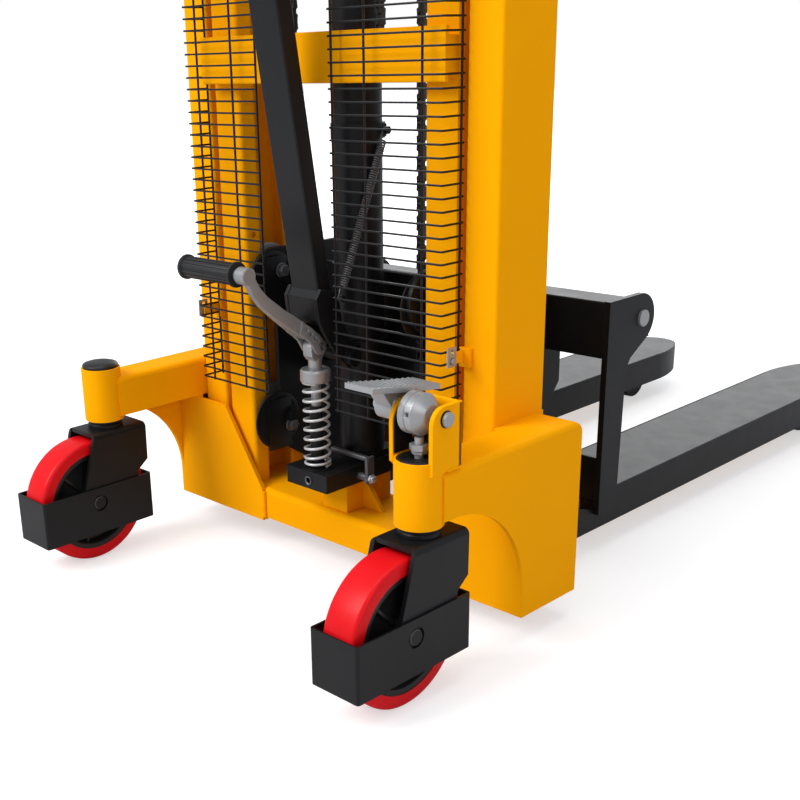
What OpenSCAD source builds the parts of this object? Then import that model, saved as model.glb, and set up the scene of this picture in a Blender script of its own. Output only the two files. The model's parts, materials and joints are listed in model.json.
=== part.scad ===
// Hand-pumped pallet stacker: straddle base with rear casters, twin mast
// columns, hydraulic jack, pump with foot lever and tiller, fork carriage.
// X is across the machine, +Y points to the fork tips, +Z is up, millimetres.

/* [Base frame] */
// half distance between the two caster swivel axes
swivel_x = 307.5; // [290:0.5:320]
// outer face of each side plate, from the centre plane
side_x = 337; // [325:1:350]
// rear face of the rear plates, ahead of the swivel axes
rear_y = 157; // [150:1:165]
// front face of the base, ahead of the swivel axes
front_y = 270; // [262:1:278]
// height of the lowest edge of the base above the floor
floor_gap = 37; // [30:1:42]
// top of the base crossbeam, where the mast stands
base_top = 88; // [84:1:92]
// plate thickness of the base
plate_t = 6; // [5:0.5:8]
// inner lower edge of the rear plates, from the centre plane
rear_inner_x = 141; // [130:1:155]
// radius of the round cut-out behind each side plate
gusset_r = 133; // [125:1:136]
// underside of the box arms that carry the casters
arm_z0 = 209; // [205:1:214]
// top of the box arms
arm_z1 = 267; // [260:1:270]
// rounding of the arm's top edges
arm_round = 9; // [5:0.5:12]

/* [Casters] */
// radius of the caster tube
tube_r = 28.5; // [26:0.5:30]
// lower end of the caster tube
tube_z0 = 203; // [200:1:206]
// upper end of the caster tube
tube_z1 = 281; // [274:1:290]
// radius of the rear wheels
wheel_r = 90; // [85:1:90]
// width of the rear wheels
wheel_w = 48; // [40:1:52]
// how far each wheel axle trails behind its swivel axis
trail = 45; // [38:1:50]
// half width of the foot guard round each wheel
guard_half = 36.5; // [36:0.5:38]
// length of the foot guard either side of the axle
guard_reach = 94; // [94:0.5:97]
// lower edge of the foot guard
guard_z0 = 43; // [38:1:48]
// height of the foot guard
guard_h = 70; // [60:1:74]

/* [Mast] */
// outer face of each mast column, from the centre plane
mast_x = 278; // [270:1:285]
// rear face of the mast columns
mast_y0 = 170; // [166:1:176]
// overall height of the mast
mast_h = 2060; // [2000:10:2100]
// width of the outer box column and of the inner guide rail
col_w = 50; // [44:1:54]
// width of the groove between column and rail
groove_w = 12; // [8:1:16]
// wall of the guide rail
rail_t = 6; // [5:0.5:7]
// depth of the lips that half close the guide rail
rail_lip = 19; // [14:1:22]

/* [Lifting gear] */
// lift cylinder axis, ahead of the swivel axes
cyl_y = 229; // [226:1:232]
// outer radius of the lift cylinder
cyl_r = 32; // [29:0.5:33]
// top of the cylinder tube
cyl_top = 1010; // [990:5:1030]
// radius of the ram
ram_r = 22.5; // [20:0.5:24]
// half distance between the two chains
chain_x = 77; // [72:1:82]
// pitch radius of the chain on its sheave
sheave_pr = 38; // [36:0.5:39]
// chain link pitch
chain_pitch = 12.7; // [11:0.1:14]

/* [Pump and tiller] */
// pump plunger axis, ahead of the swivel axes
plunger_y = 140; // [137:0.5:143]
// top face of the pump block
block_top = 161; // [159:1:164]
// thickness of the pump block
block_t = 25; // [22:1:27]
// rocker pivot, ahead of the swivel axes
pivot_y = 178; // [177:0.5:179]
// rocker pivot height
pivot_z = 314; // [313:0.5:315]
// knuckle pin height
pin_z = 331; // [330:0.5:332]
// tiller lean from upright, degrees
tiller_lean = 8.95; // [6:0.05:10]
// width of the tiller tube
tiller_w = 50; // [46:1:50]
// depth of the tiller tube
tiller_d = 25; // [22:1:28]
// length of the tiller tube
tiller_len = 760; // [650:10:850]
// outer radius of the plunger spring
spring_r = 19; // [17:0.5:19.5]
// wire radius of the plunger spring
spring_wire = 2; // [1.6:0.1:2.2]
// turns of the plunger spring
spring_turns = 9.5; // [9:0.5:10.5]

/* [Brake] */
// brake shaft axis, ahead of the swivel axes
brake_y = 10; // [8:0.5:12]
// brake shaft height
brake_z = 328; // [326:0.5:330]
// radius of the brake cam drum
drum_r = 24; // [22:0.5:25]
// eccentricity of the cam drum
drum_e = 6; // [4:0.5:7]

/* [Forks] */
// fork centre line, from the centre plane
fork_x = 179; // [176:1:184]
// width of each fork
fork_w = 132; // [126:1:134]
// fork top height when lowered
fork_top = 92; // [90:1:96]
// depth of the fork flanks
fork_h = 54; // [50:1:56]
// fork plate thickness
fork_t = 7; // [6:0.5:8]
// rear end of the forks
fork_y0 = 290; // [286:1:300]
// fork tips
fork_y1 = 1357; // [1300:1:1360]
// height of the upper cross beam's top
beam_top = 371; // [366:1:376]
// height of the upper cross beam
beam_h = 79; // [74:1:84]
// depth of the upper cross beam
beam_d = 52; // [46:1:56]
// rear face of the lower cross beam, ahead of the swivel axes
heel_y = 455; // [452:1:458]
// depth of the lower cross beam
heel_d = 20; // [16:1:24]
// underside and top of the lower cross beam
heel_z0 = 64; // [60:1:68]
heel_z1 = 146; // [140:1:150]
// shaft that carries the fork braces, ahead of the swivel axes
shaft_y = 532; // [528:1:536]
// height of that shaft
shaft_z = 337; // [333:1:341]

/* [Wire guards] */
// radius of the guard wires
wire_r = 1.6; // [1.4:0.1:2]
// spacing of the level wires
wire_pitch = 15; // [14:0.5:16]
// level wires in each guard
wire_count = 98; // [80:1:98]
// lowest level wire
mesh_z0 = 254; // [248:1:262]
// step from clip to clip up the mast
clip_step = 650; // [500:10:700]
// plane of the guards, ahead of the swivel axes
mesh_y = 131; // [128:1:134]

/* [Hidden] */
big = 72;
mid = 40;
small = 24;
eps = 0.01;
rub = 0.3;
run = 0.05;
y_shift = (fork_y1 - (trail + guard_reach)) / 2;
arm_x0 = mast_x;
arm_x1 = side_x;
wall = 6;
mast_y1 = front_y;
box_x0 = mast_x - col_w;
rail_x1 = box_x0 - groove_w;
rail_x0 = rail_x1 - col_w;
rail_y_mid = (mast_y0 + mast_y1) / 2;
roller_r = (mast_y1 - mast_y0) / 2 - rail_t - rub;
roller_x0 = rail_x0 + rail_t + 2;
roller_x1 = rail_x1 - rail_t - 3;
roller_z = [beam_top - 181, beam_top + 29];
axle_r = 12;
cheek_x0 = tiller_w / 2;
cheek_x1 = cheek_x0 + 6;
pump_w = 40;
pump_y0 = plunger_y - 23;
pump_y1 = front_y;
yoke_z = cyl_top + 30;
sheave_z = yoke_z + 55;
sheave_w = 18;
tie_z = 715;
anchor_z = beam_top - 75;
leg_half = fork_w / 2 - 28;
leg_x0 = fork_x - leg_half;
leg_x1 = fork_x + leg_half;
neck = 3;
leg_z0 = fork_top - 48;
leg_z1 = fork_top - 14;
load_r = 37;
load_y = fork_y1 - 152;
leg_y1 = load_y - 55;
plate_x0 = 143;
plate_x1 = 151;
brace_x0 = fork_x + fork_w / 2;
brace_x1 = brace_x0 + 9;
brace_y0 = heel_y - 6;
brace_y1 = heel_y + 38;
shaft_r = 12;
eye_r = 36;
guard_t = 3;
guard_hole = 12.5;
axle_head_r = 8.8;
axle_half = guard_half + 0.6;
yoke_half = guard_half - guard_t - 0.05;
yoke_t = 6;
yoke_top = 192;
cap_z0 = pin_z - 50;
cap_z1 = cap_z0 + 24;
plunger_r = 7.5;
tiller_base = pin_z + 19;
tiller_rear_y = plunger_y - 5.9;
pin_r = 3.05;
hook_y = plunger_y + 11.7;
hook_z = pin_z + 68.9;
spring_x = tiller_w / 2 + 13.5;
anchor_y = cyl_y + 11;
spring_anchor_z = 604;

module place() translate([0, -y_shift, 0]) children();
module left() mirror([1, 0, 0]) children();

// round bar or hole along X
module xcyl(x0, x1, y, z, r, f = mid)
  translate([x0, y, z]) rotate([0, 90, 0]) cylinder(r = r, h = x1 - x0, $fn = f);
// round bar or hole along Y
module ycyl(y0, y1, x, z, r, f = mid)
  translate([x, y1, z]) rotate([90, 0, 0]) cylinder(r = r, h = y1 - y0, $fn = f);
// upright round bar or hole
module zcyl(z0, z1, x, y, r, f = mid)
  translate([x, y, z0]) cylinder(r = r, h = z1 - z0, $fn = f);
// box given by its two corners
module box(x0, x1, y0, y1, z0, z1) translate([x0, y0, z0]) cube([x1 - x0, y1 - y0, z1 - z0]);
// outline in Y and Z, given thickness along X
module yz(x0, x1, pts) translate([x0, 0, 0]) rotate([90, 0, 90])
  linear_extrude(height = x1 - x0) polygon(pts);
// outline in X and Z, given thickness along Y
module xz(y0, y1, pts) translate([0, y1, 0]) rotate([90, 0, 0])
  linear_extrude(height = y1 - y0) polygon(pts);
// sharp corner left outside a rounded upright edge, to be cut away
module z_edge(x, y, sx, sy, r, z0, z1)
  difference() {
    box(min(x, x + sx * r), max(x, x + sx * r), min(y, y + sy * r), max(y, y + sy * r), z0, z1);
    zcyl(z0 - 1, z1 + 1, x + sx * r, y + sy * r, r, small * 2);
  }
// the same for an edge that runs along Y
module y_edge(x, z, sx, sz, r, y0, y1)
  difference() {
    box(min(x, x + sx * r), max(x, x + sx * r), y0, y1, min(z, z + sz * r), max(z, z + sz * r));
    ycyl(y0 - 1, y1 + 1, x + sx * r, z + sz * r, r, small * 2);
  }
// the same for an edge that runs along X
module x_edge(y, z, sy, sz, r, x0, x1)
  difference() {
    box(x0, x1, min(y, y + sy * r), max(y, y + sy * r), min(z, z + sz * r), max(z, z + sz * r));
    xcyl(x0 - 1, x1 + 1, y + sy * r, z + sz * r, r, small * 2);
  }
// hexagon nut or head along X
module xhex(x0, x1, y, z, af) translate([x0, y, z]) rotate([0, 90, 0])
  cylinder(r = af / sqrt(3), h = x1 - x0, $fn = 6);
module zhex(z0, z1, x, y, af) translate([x, y, z0]) cylinder(r = af / sqrt(3), h = z1 - z0, $fn = 6);

// base

module base_crossbeam() color([1, 0.69, 0]) {
  r = 10;
  y = rear_y + 3;
  difference() {
    box(-rear_inner_x, rear_inner_x, y, front_y, 42, base_top);
    box(-rear_inner_x - 1, rear_inner_x + 1, y + plate_t, front_y - plate_t, 41, base_top - plate_t);
    x_edge(y - eps, base_top + eps, 1, -1, r, -rear_inner_x - 1, rear_inner_x + 1);
    // slot through the front wall
    box(70, 86, front_y - plate_t - 1, front_y + 1, 50, 76);
  }
}

module side_frame() {
  t = plate_t;
  // box arm that runs back to the caster tube
  difference() {
    box(arm_x0, arm_x1, 8, front_y, arm_z0, arm_z1);
    box(arm_x0 + t, arm_x1 - t, 7, front_y - t, arm_z0 + t, arm_z1 - t);
    zcyl(arm_z0 - 1, arm_z1 + 1, swivel_x, 0, tube_r, big);
    y_edge(arm_x0 - eps, arm_z1 + eps, 1, -1, arm_round, 0, mast_y0);
    y_edge(arm_x1 + eps, arm_z1 + eps, -1, -1, arm_round, 0, front_y + 1);
    x_edge(front_y + eps, arm_z1 + eps, -1, -1, arm_round * 2, arm_x0 - 1, arm_x1 + 1);
  }
  // outer side plate with the round cut-out
  difference() {
    union() {
      box(arm_x1 - t, arm_x1, rear_y, front_y, floor_gap, arm_z0);
      box(arm_x1 - t, arm_x1, rear_y - gusset_r, rear_y, arm_z0 - gusset_r, arm_z0);
    }
    xcyl(arm_x1 - t - 1, arm_x1 + 1, rear_y - gusset_r, arm_z0 - gusset_r, gusset_r, big * 2);
  }
  // rear plate, cut back on a slant up to the mast groove
  xz(rear_y, rear_y + t, [[arm_x1 - t, floor_gap], [rear_inner_x, floor_gap],
    [rear_inner_x, base_top], [rail_x1 + 2, 203], [arm_x0, 204], [arm_x0, arm_z0],
    [arm_x1 - t, arm_z0]]);
  // front plate, floor plate under the mast, inner wall
  xz(front_y - t, front_y, [[arm_x1 - t, floor_gap], [rear_inner_x, floor_gap],
    [rear_inner_x, base_top], [arm_x0, base_top], [arm_x0, arm_z0], [arm_x1 - t, arm_z0]]);
  box(rear_inner_x, arm_x1 - t, rear_y + t, front_y - t, base_top - t, base_top);
  box(rear_inner_x, rear_inner_x + t, rear_y + t, front_y - t, floor_gap, base_top - t);
}
module side_frame_r() color([1, 0.69, 0]) side_frame();
module side_frame_l() color([1, 0.69, 0]) left() side_frame();

module caster_tube() difference() {
  zcyl(tube_z0, tube_z1, swivel_x, 0, tube_r, big);
  zcyl(tube_z0 - 1, tube_z0 + 22, swivel_x, 0, 23.35, big);
  zcyl(tube_z0 - 1, tube_z1 + 1, swivel_x, 0, 10 + run, mid);
  zcyl(tube_z1 - 6, tube_z1 + 1, swivel_x, 0, tube_r - 3, big);
}
module caster_tubes() color([1, 0.69, 0]) {
  caster_tube();
  left() caster_tube();
}

module leg() {
  difference() {
    box(leg_x0, leg_x1, front_y, load_y + 45, leg_z0, leg_z1);
    box(leg_x0 + plate_t, leg_x1 - plate_t, front_y - 1, leg_y1, leg_z0 + 5, leg_z1 - 5);
    // roller bay at the tip, open above and below
    box(leg_x0 + neck + plate_t, leg_x1 - neck - plate_t, leg_y1 + 5, load_y + 46, leg_z0 - 1,
      leg_z1 + 1);
    for (x = [leg_x0 - 1, leg_x1 - neck]) box(x, x + neck + 1, leg_y1 - 10, load_y + 46, leg_z0 - 1,
      leg_z1 + 1);
  }
  xcyl(leg_x0 + neck, leg_x1 - neck, load_y, load_r, 8);
  for (x = [leg_x0 + neck, leg_x1 - neck - plate_t])
    box(x, x + plate_t, load_y - 20, load_y + 20, load_r - 12, leg_z0 + 1);
}
module leg_r() color([1, 0.69, 0]) leg();
module leg_l() color([1, 0.69, 0]) left() leg();

module load_roller() difference() {
  xcyl(leg_x0 + neck + plate_t + 1, leg_x1 - neck - plate_t - 1, load_y, load_r, load_r, big);
  xcyl(leg_x0, leg_x1, load_y, load_r, 8 + run);
}
module load_roller_r() color([0.8, 0.1, 0.12]) load_roller();
module load_roller_l() color([0.8, 0.1, 0.12]) left() load_roller();

// mast

module mast_rail() {
  t = rail_t;
  z1 = mast_h - 50;
  difference() {
    box(rail_x0, rail_x1, mast_y0, mast_y1, base_top, z1);
    box(rail_x0 + t, rail_x1 - t, mast_y0 + t, mast_y1 - t, base_top - 1, z1 + 1);
    box(rail_x0 - 1, rail_x0 + t + 1, mast_y0 + t + rail_lip, mast_y1 - t - rail_lip,
      base_top - 1, z1 + 1);
    z_edge(rail_x0 - eps, mast_y0 - eps, 1, 1, t, base_top - 1, z1 + 1);
    z_edge(rail_x0 - eps, mast_y1 + eps, 1, -1, t, base_top - 1, z1 + 1);
    xcyl(rail_x0 - 1, rail_x0 + t + 1, mast_y0 + 15, mesh_z0 + 206, 5);
  }
}
module mast_rail_r() color([1, 0.69, 0]) mast_rail();
module mast_rail_l() color([1, 0.69, 0]) left() mast_rail();

module mast_box() {
  z1 = mast_h - 50;
  difference() {
    box(box_x0, mast_x, mast_y0, mast_y1, base_top, z1);
    box(box_x0 + 5, mast_x - 5, mast_y0 + 5, mast_y1 - 5, base_top - 1, z1 + 1);
    for (p = [[box_x0 - eps, 1], [mast_x + eps, -1]]) {
      z_edge(p[0], mast_y0 - eps, p[1], 1, 5, base_top - 1, z1 + 1);
      z_edge(p[0], mast_y1 + eps, p[1], -1, 5, arm_z1 + 1, z1 + 1);
    }
  }
  // strips that join the column to the guide rail
  for (y = [mast_y0 + 30, mast_y1 - 14]) box(rail_x1, box_x0, y, y + 6, base_top, z1);
}
module mast_box_r() color([1, 0.69, 0]) mast_box();
module mast_box_l() color([1, 0.69, 0]) left() mast_box();

module mast_top_beam() color([1, 0.69, 0]) difference() {
  box(-mast_x, mast_x, mast_y0, mast_y1, mast_h - 50, mast_h);
  box(-mast_x + 5, mast_x - 5, mast_y0 + 5, mast_y1 - 5, mast_h - 51, mast_h - 5);
}

module mast_tie() color([1, 0.69, 0]) {
  box(-rail_x1, rail_x1, 147, 153, tie_z - 50, tie_z + 10);
  for (s = [-1, 1]) {
    box(min(s * 182, s * rail_x1), max(s * 182, s * rail_x1), 153, mast_y0, tie_z - 40, tie_z);
    // lugs that hold the still ends of the chains
    box(s * chain_x - 9, s * chain_x + 9, 153, cyl_y - sheave_pr + 6, tie_z - 16, tie_z);
  }
  difference() {
    box(-16, 16, 153, cyl_y, tie_z - 40, tie_z - 20);
    zcyl(tie_z - 41, tie_z - 19, 0, cyl_y, cyl_r, big);
  }
}

// pump and lift cylinder

module pump_pedestal() color([1, 0.69, 0]) {
  z1 = block_top - block_t;
  box(-24, 24, rear_y + 14, 262, base_top, z1);
  for (s = [-1, 1]) xz(205, 213, [[s * 24, base_top], [s * 60, base_top], [s * 24, z1]]);
}

module pump_block() color([0.05, 0.05, 0.055]) {
  difference() {
    box(-pump_w, pump_w, pump_y0, pump_y1, block_top - block_t, block_top);
    ycyl(pump_y0 - 1, pump_y0 + 16, 2, block_top - 13, 4);
    zcyl(block_top - 15, block_top + 1, 0, plunger_y, plunger_r + run, mid);
    xcyl(28, pump_w + 1, 180, block_top - 14, 5 + run);
    for (s = [-1, 1]) z_edge(s * (pump_w + eps), pump_y0 - eps, -s, 1, 2, 130, block_top + 1);
  }
  // plunger barrel
  difference() {
    zcyl(block_top, 250, 0, plunger_y, 9.5, mid);
    zcyl(block_top - 1, 251, 0, plunger_y, plunger_r + run, mid);
  }
  // round seat under the spring, cylinder foot
  difference() {
    zcyl(block_top, block_top + 2, 0, plunger_y, 22, mid);
    zcyl(block_top - 1, block_top + 3, 0, plunger_y, 9, mid);
  }
  box(-34, 34, 192, 266, block_top, block_top + 8);
}

module lift_cylinder() color([0.03, 0.03, 0.035]) {
  z0 = block_top + 8;
  difference() {
    union() {
      zcyl(z0, cyl_top, 0, cyl_y, cyl_r, big);
      zcyl(cyl_top - 26, cyl_top, 0, cyl_y, cyl_r + 3, big);
      // lowering valve stem, facing its lever
      ycyl(188.5, cyl_y - 20, 6, block_top + 15.5, 4);
    }
    zcyl(z0 + 14, cyl_top - 30, 0, cyl_y, ram_r + 3.5, big);
    zcyl(cyl_top - 31, cyl_top + 1, 0, cyl_y, ram_r + run, big);
  }
}

module rocker_bracket() {
  difference() {
    union() {
      zcyl(pivot_z - 16, pivot_z + 16, 0, cyl_y, cyl_r + 5, big);
      for (s = [-1, 1]) {
        box(s * 20 - 4.5, s * 20 + 4.5, pivot_y, 206, pivot_z - 12, pivot_z + 12);
        xcyl(s * 20 - 4.5, s * 20 + 4.5, pivot_y, pivot_z, 12);
      }
    }
    zcyl(pivot_z - 17, pivot_z + 17, 0, cyl_y, cyl_r, big);
  }
  xcyl(-cheek_x1 - 4, cheek_x1 + 4, pivot_y, pivot_z, 8);
  for (s = [-1, 1]) xhex(s * (cheek_x1 + 4.5) - 4, s * (cheek_x1 + 4.5) + 4, pivot_y, pivot_z, 22);
}

module spring_anchor() {
  z = spring_anchor_z;
  difference() {
    union() {
      zcyl(z - 10, z + 10, 0, cyl_y, cyl_r + 4, big);
      box(cyl_r - 3, spring_x - 4, anchor_y - 7, anchor_y + 7, z - 8, z + 8);
    }
    zcyl(z - 11, z + 11, 0, cyl_y, cyl_r, big);
  }
  xcyl(spring_x - 5, spring_x + 5, anchor_y, z, pin_r);
  xcyl(spring_x + 4, spring_x + 6, anchor_y, z, 5);
}
module cylinder_clamps() color([0.05, 0.05, 0.055]) {
  rocker_bracket();
  spring_anchor();
}

module pump_plunger() color([0.72, 0.73, 0.74]) {
  zcyl(196, cap_z0 + 1, 0, plunger_y, plunger_r, mid);
  zcyl(cap_z0, cap_z1, 0, plunger_y, 21, big);
  zcyl(cap_z1 - 1, pin_z - 9, 0, plunger_y, 9, mid);
  difference() {
    intersection() {
      union() {
        xcyl(-8.7, 8.7, plunger_y - 1.8, pin_z, 13);
        box(-8.7, 8.7, plunger_y - 9, plunger_y + 9, pin_z - 12, pin_z);
      }
      box(-8.7, 8.7, plunger_y - 20, plunger_y + 20, pin_z - 12, pin_z + 20);
    }
    // slotted eye for the knuckle pin
    for (y = [plunger_y - 3.7, plunger_y]) xcyl(-10, 10, y, pin_z, 6.3);
    box(-10, 10, plunger_y - 3.7, plunger_y, pin_z - 6.3, pin_z + 6.3);
  }
}

// one unbroken coil: rings of six points along a helix
module coil(turns, len, rm, rw, n = 8, closed = 0) {
  k = ceil(turns * n);
  sides = 6;
  pts = [for (i = [0:k]) let (a = 360 * turns * i / k, z = len * i / k,
      tilt = atan2(len, 2 * PI * rm * turns))
    for (j = [0:sides - 1]) let (b = 360 * j / sides, u = rw * cos(b), v = rw * sin(b))
      [(rm + u) * cos(a) + v * sin(tilt) * sin(a),
       (rm + u) * sin(a) - v * sin(tilt) * cos(a), z + v * cos(tilt)]];
  quads = [for (i = [0:k - 1]) for (j = [0:sides - 1]) let (m = (j + 1) % sides)
    [i * sides + j, (i + 1) * sides + j, (i + 1) * sides + m, i * sides + m]];
  caps = [[for (j = [0:sides - 1]) j], [for (j = [sides - 1:-1:0]) k * sides + j]];
  polyhedron(points = pts, faces = concat(quads, caps), convexity = 10);
}

module plunger_spring() color([0.85, 0.86, 0.87]) {
  z0 = block_top + 2 + spring_wire + 0.1;
  len = cap_z0 - spring_wire - 0.1 - z0;
  echo("plunger spring gap between turns", len / spring_turns - 2 * spring_wire);
  translate([0, plunger_y, z0]) coil(spring_turns, len, spring_r - spring_wire, spring_wire);
}

module release_lever() color([0.25, 0.25, 0.26]) {
  box(-4, 52, 176, 184, block_top + 13, block_top + 18);
  box(46, 52, 172, 188, block_top - 22, block_top + 18);
  xhex(52, 57, 180, block_top - 14, 13);
  xcyl(30, 61, 180, block_top - 14, 5);
}

// rocker, tiller and foot lever

// side plate of the rocker, measured from the knuckle pin
cheek_pts = [[22, 35], [16, 75], [-15.5, 83], [-24, 71], [-20, 14], [-8, -10], [0, -13]];
// second pin that fixes the foot lever to the rocker, and the rivet beside it
link_pin = [-11, 20];
link_rivet = [-21, 28.5];
function from_pin(p) = [plunger_y, pin_z] + p;
module pin_x(x0, x1, p, r) xcyl(x0, x1, from_pin(p)[0], from_pin(p)[1], r);
module rocker() color([0.05, 0.05, 0.055]) {
  for (s = [-1, 1]) {
    x0 = s > 0 ? cheek_x0 : -cheek_x1;
    difference() {
      union() {
        yz(x0, x0 + wall, concat([[pivot_y - 5, pivot_z - 13], [pivot_y + 13, pivot_z + 4]],
          [for (p = cheek_pts) from_pin(p)]));
        xcyl(x0, x0 + wall, pivot_y, pivot_z, 14);
        xcyl(x0, x0 + wall, plunger_y, pin_z, 13);
        xcyl(x0, x0 + wall, hook_y, hook_z, 7);
      }
      xcyl(x0 - 1, x0 + wall + 1, pivot_y, pivot_z, 8 + run);
    }
  }
  // rear plate welded across the foot of the tiller
  translate([0, tiller_rear_y, tiller_base]) rotate([tiller_lean, 0, 0])
    box(-cheek_x1, cheek_x1, -4, 0, 18, 66);
  // knuckle pin and the second lever pin
  xcyl(-cheek_x1 - 3, cheek_x1 + 3, plunger_y, pin_z, 6);
  pin_x(-cheek_x1 - 2, cheek_x1 + 2, link_pin, 4);
  // pin for the long spring's lower hook
  xcyl(cheek_x0 + 1, spring_x + 6, hook_y, hook_z, pin_r);
  xcyl(spring_x + 5, spring_x + 7, hook_y, hook_z, 5);
}

module tiller_tube() color([0.05, 0.05, 0.055])
  translate([0, tiller_rear_y, tiller_base]) rotate([tiller_lean, 0, 0]) difference() {
    box(-tiller_w / 2, tiller_w / 2, 0, tiller_d, 14, tiller_len);
    box(-tiller_w / 2 + 3, tiller_w / 2 - 3, 3, tiller_d - 3, 13, tiller_len - 3);
    for (s = [-1, 1]) for (p = [[0, 1], [tiller_d, -1]])
      z_edge(s * (tiller_w / 2 + eps), p[0] - p[1] * eps, -s, p[1], 3, 7, tiller_len + 1);
  }

handle_w = 105;
handle_h = 120;
handle_r = 12;
bend_r = 34;
handle_z = 8 + handle_r - 3;
module handle_bend(a) rotate([0, 0, a])
  rotate_extrude(angle = 90, $fn = mid) translate([bend_r, 0]) circle(r = handle_r, $fn = small);
module tiller_handle() color([0.05, 0.05, 0.055])
  translate([0, tiller_rear_y, tiller_base]) rotate([tiller_lean, 0, 0])
  translate([0, tiller_d / 2, tiller_len]) {
    w = handle_w;
    b = bend_r;
    box(-30, 30, -14, 14, 0, 8);
    for (z = [handle_z, handle_z + handle_h])
      translate([-(w - b), 0, z]) rotate([0, 90, 0]) cylinder(r = handle_r, h = 2 * (w - b), $fn = small);
    for (s = [-1, 1]) {
      translate([s * w, 0, handle_z + b]) cylinder(r = handle_r, h = handle_h - 2 * b, $fn = small);
      translate([s * (w - b), 0, handle_z + b]) rotate([90, 0, 0]) handle_bend(s > 0 ? 270 : 180);
      translate([s * (w - b), 0, handle_z + handle_h - b]) rotate([90, 0, 0])
        handle_bend(s > 0 ? 0 : 90);
    }
    // ears that carry the lowering lever
    for (s = [-1, 1]) translate([s * 11 - 2, -28, 10]) cube([4, 18, 16]);
    translate([-15, -21, 18]) rotate([0, 90, 0]) cylinder(r = 3, h = 30, $fn = small);
  }

module hand_lever() color([0.6, 0.05, 0.05])
  translate([0, tiller_rear_y, tiller_base]) rotate([tiller_lean, 0, 0])
  translate([0, tiller_d / 2, tiller_len]) difference() {
    union() {
      translate([-8.7, -21, 18]) rotate([0, 90, 0]) cylinder(r = 7, h = 17.4, $fn = mid);
      translate([-6, -25, 18]) cube([12, 8, 62]);
      translate([-14, -25, 70]) cube([28, 8, 34]);
    }
    translate([-10, -21, 18]) rotate([0, 90, 0]) cylinder(r = 3 + run, h = 20, $fn = small);
  }

// centre line of the foot lever, measured from the knuckle pin
lever_path = [[-15.4, 25], [-39.6, 42.5], [-69, 60.5], [-95, 82], [-107, 103], [-118, 112]];
lever_pts = [for (p = lever_path) from_pin(p)];
lever_end = from_pin([-120, 113]);
lever_r = 8.5;
grip_len = 91;
function unit(v) = v / norm(v);
function across(v) = [-v[1], v[0]];
function lever_dir(i) = unit(lever_pts[i + 1] - lever_pts[i]);
// point on the mitred edge of the bent bar, on one side of its centre line
function lever_edge(i, side) = let (n = len(lever_pts), a = lever_dir(max(i - 1, 0)),
  b = lever_dir(min(i, n - 2)), m = across(unit(a + b)))
  lever_pts[i] + side * lever_r / (m * across(b)) * m;
module lever_bar(p, q, r, x0, x1) {
  d = unit(q - p);
  yz(x0, x1, [p + r * across(d), q + r * across(d), q - r * across(d), p - r * across(d)]);
}
module foot_lever() color([0.66, 0.67, 0.68]) difference() {
  n = len(lever_pts) - 1;
  union() {
    yz(-5.5, 5.5, concat([for (i = [0:n]) lever_edge(i, 1)], [for (i = [n:-1:0]) lever_edge(i, -1)]));
    // end boss and stub that carry the rubber grip
    xcyl(-14, 7, lever_end[0], lever_end[1], 12);
    xcyl(-14 - grip_len, -13, lever_end[0], lever_end[1], 8);
    // two ears that straddle the plunger's eye
    for (x = [-14, 9]) {
      xcyl(x, x + 5, plunger_y, pin_z, 12);
      lever_bar(from_pin([0, 0]), from_pin([-22, 30]), 10, x, x + 5);
    }
    lever_bar(from_pin([-12, 21]), from_pin([-28, 34.5]), 9, -14, 14);
  }
  xcyl(-20, 20, plunger_y, pin_z, 6);
  pin_x(-20, 20, link_pin, 4);
  pin_x(-20, 20, link_rivet, 2.6);
}

module foot_grip() color([0.06, 0.06, 0.065]) difference() {
  union() {
    xcyl(-21 - grip_len, -14, lever_end[0], lever_end[1], 13, mid);
    xcyl(-18, -14, lever_end[0], lever_end[1], 16.5, mid);
    xcyl(-24 - grip_len, -17 - grip_len, lever_end[0], lever_end[1], 16, mid);
  }
  xcyl(-14 - grip_len, -13, lever_end[0], lever_end[1], 8, mid);
}

function spring_dy() = anchor_y - hook_y;
function spring_dz() = spring_anchor_z - hook_z;
spring_full = norm([spring_dy(), spring_dz()]);
coil_turns = 58;
hook_len = 14;
hook_r = 4;
long_wire = 0.9;
// stations along the long spring: position, outward direction, tangent
function loop_at(z, a) = [[0, hook_r * cos(a), z + hook_r * sin(a)], [0, cos(a), sin(a)],
  [0, -sin(a), cos(a)]];
function turn_at(i, k) = let (a = 90 + 360 * coil_turns * i / k,
  z = hook_len + (spring_full - 2 * hook_len) * i / k)
  [[hook_r * cos(a), hook_r * sin(a), z], [cos(a), sin(a), 0],
   i == 0 || i == k ? [-sin(a) * 0.7, cos(a) * 0.7, 0.7] : [-sin(a), cos(a), 0.1]];
module tiller_spring() color([0.05, 0.05, 0.055]) {
  tilt = -atan2(spring_dy(), spring_dz());
  echo("long spring gap between turns", (spring_full - 2 * hook_len) / coil_turns - 2 * long_wire);
  k = coil_turns * 8;
  st = concat([for (a = [-250:25:0]) loop_at(0, a)], [for (i = [0:k]) turn_at(i, k)],
    [for (a = [0:25:250]) loop_at(spring_full, a)]);
  n = len(st);
  pts = [for (q = st) let (e = q[1], t = q[2] / norm(q[2]), f = cross(t, e))
    for (j = [0:5]) q[0] + long_wire * (cos(60 * j) * e + sin(60 * j) * f)];
  quads = [for (i = [0:n - 2]) for (j = [0:5]) let (m = (j + 1) % 6)
    [i * 6 + j, (i + 1) * 6 + j, (i + 1) * 6 + m, i * 6 + m]];
  caps = [[for (j = [0:5]) j], [for (j = [5:-1:0]) (n - 1) * 6 + j]];
  translate([spring_x, hook_y, hook_z]) rotate([tilt, 0, 0])
    polyhedron(points = pts, faces = concat(quads, caps), convexity = 10);
}

// wire guards

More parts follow.
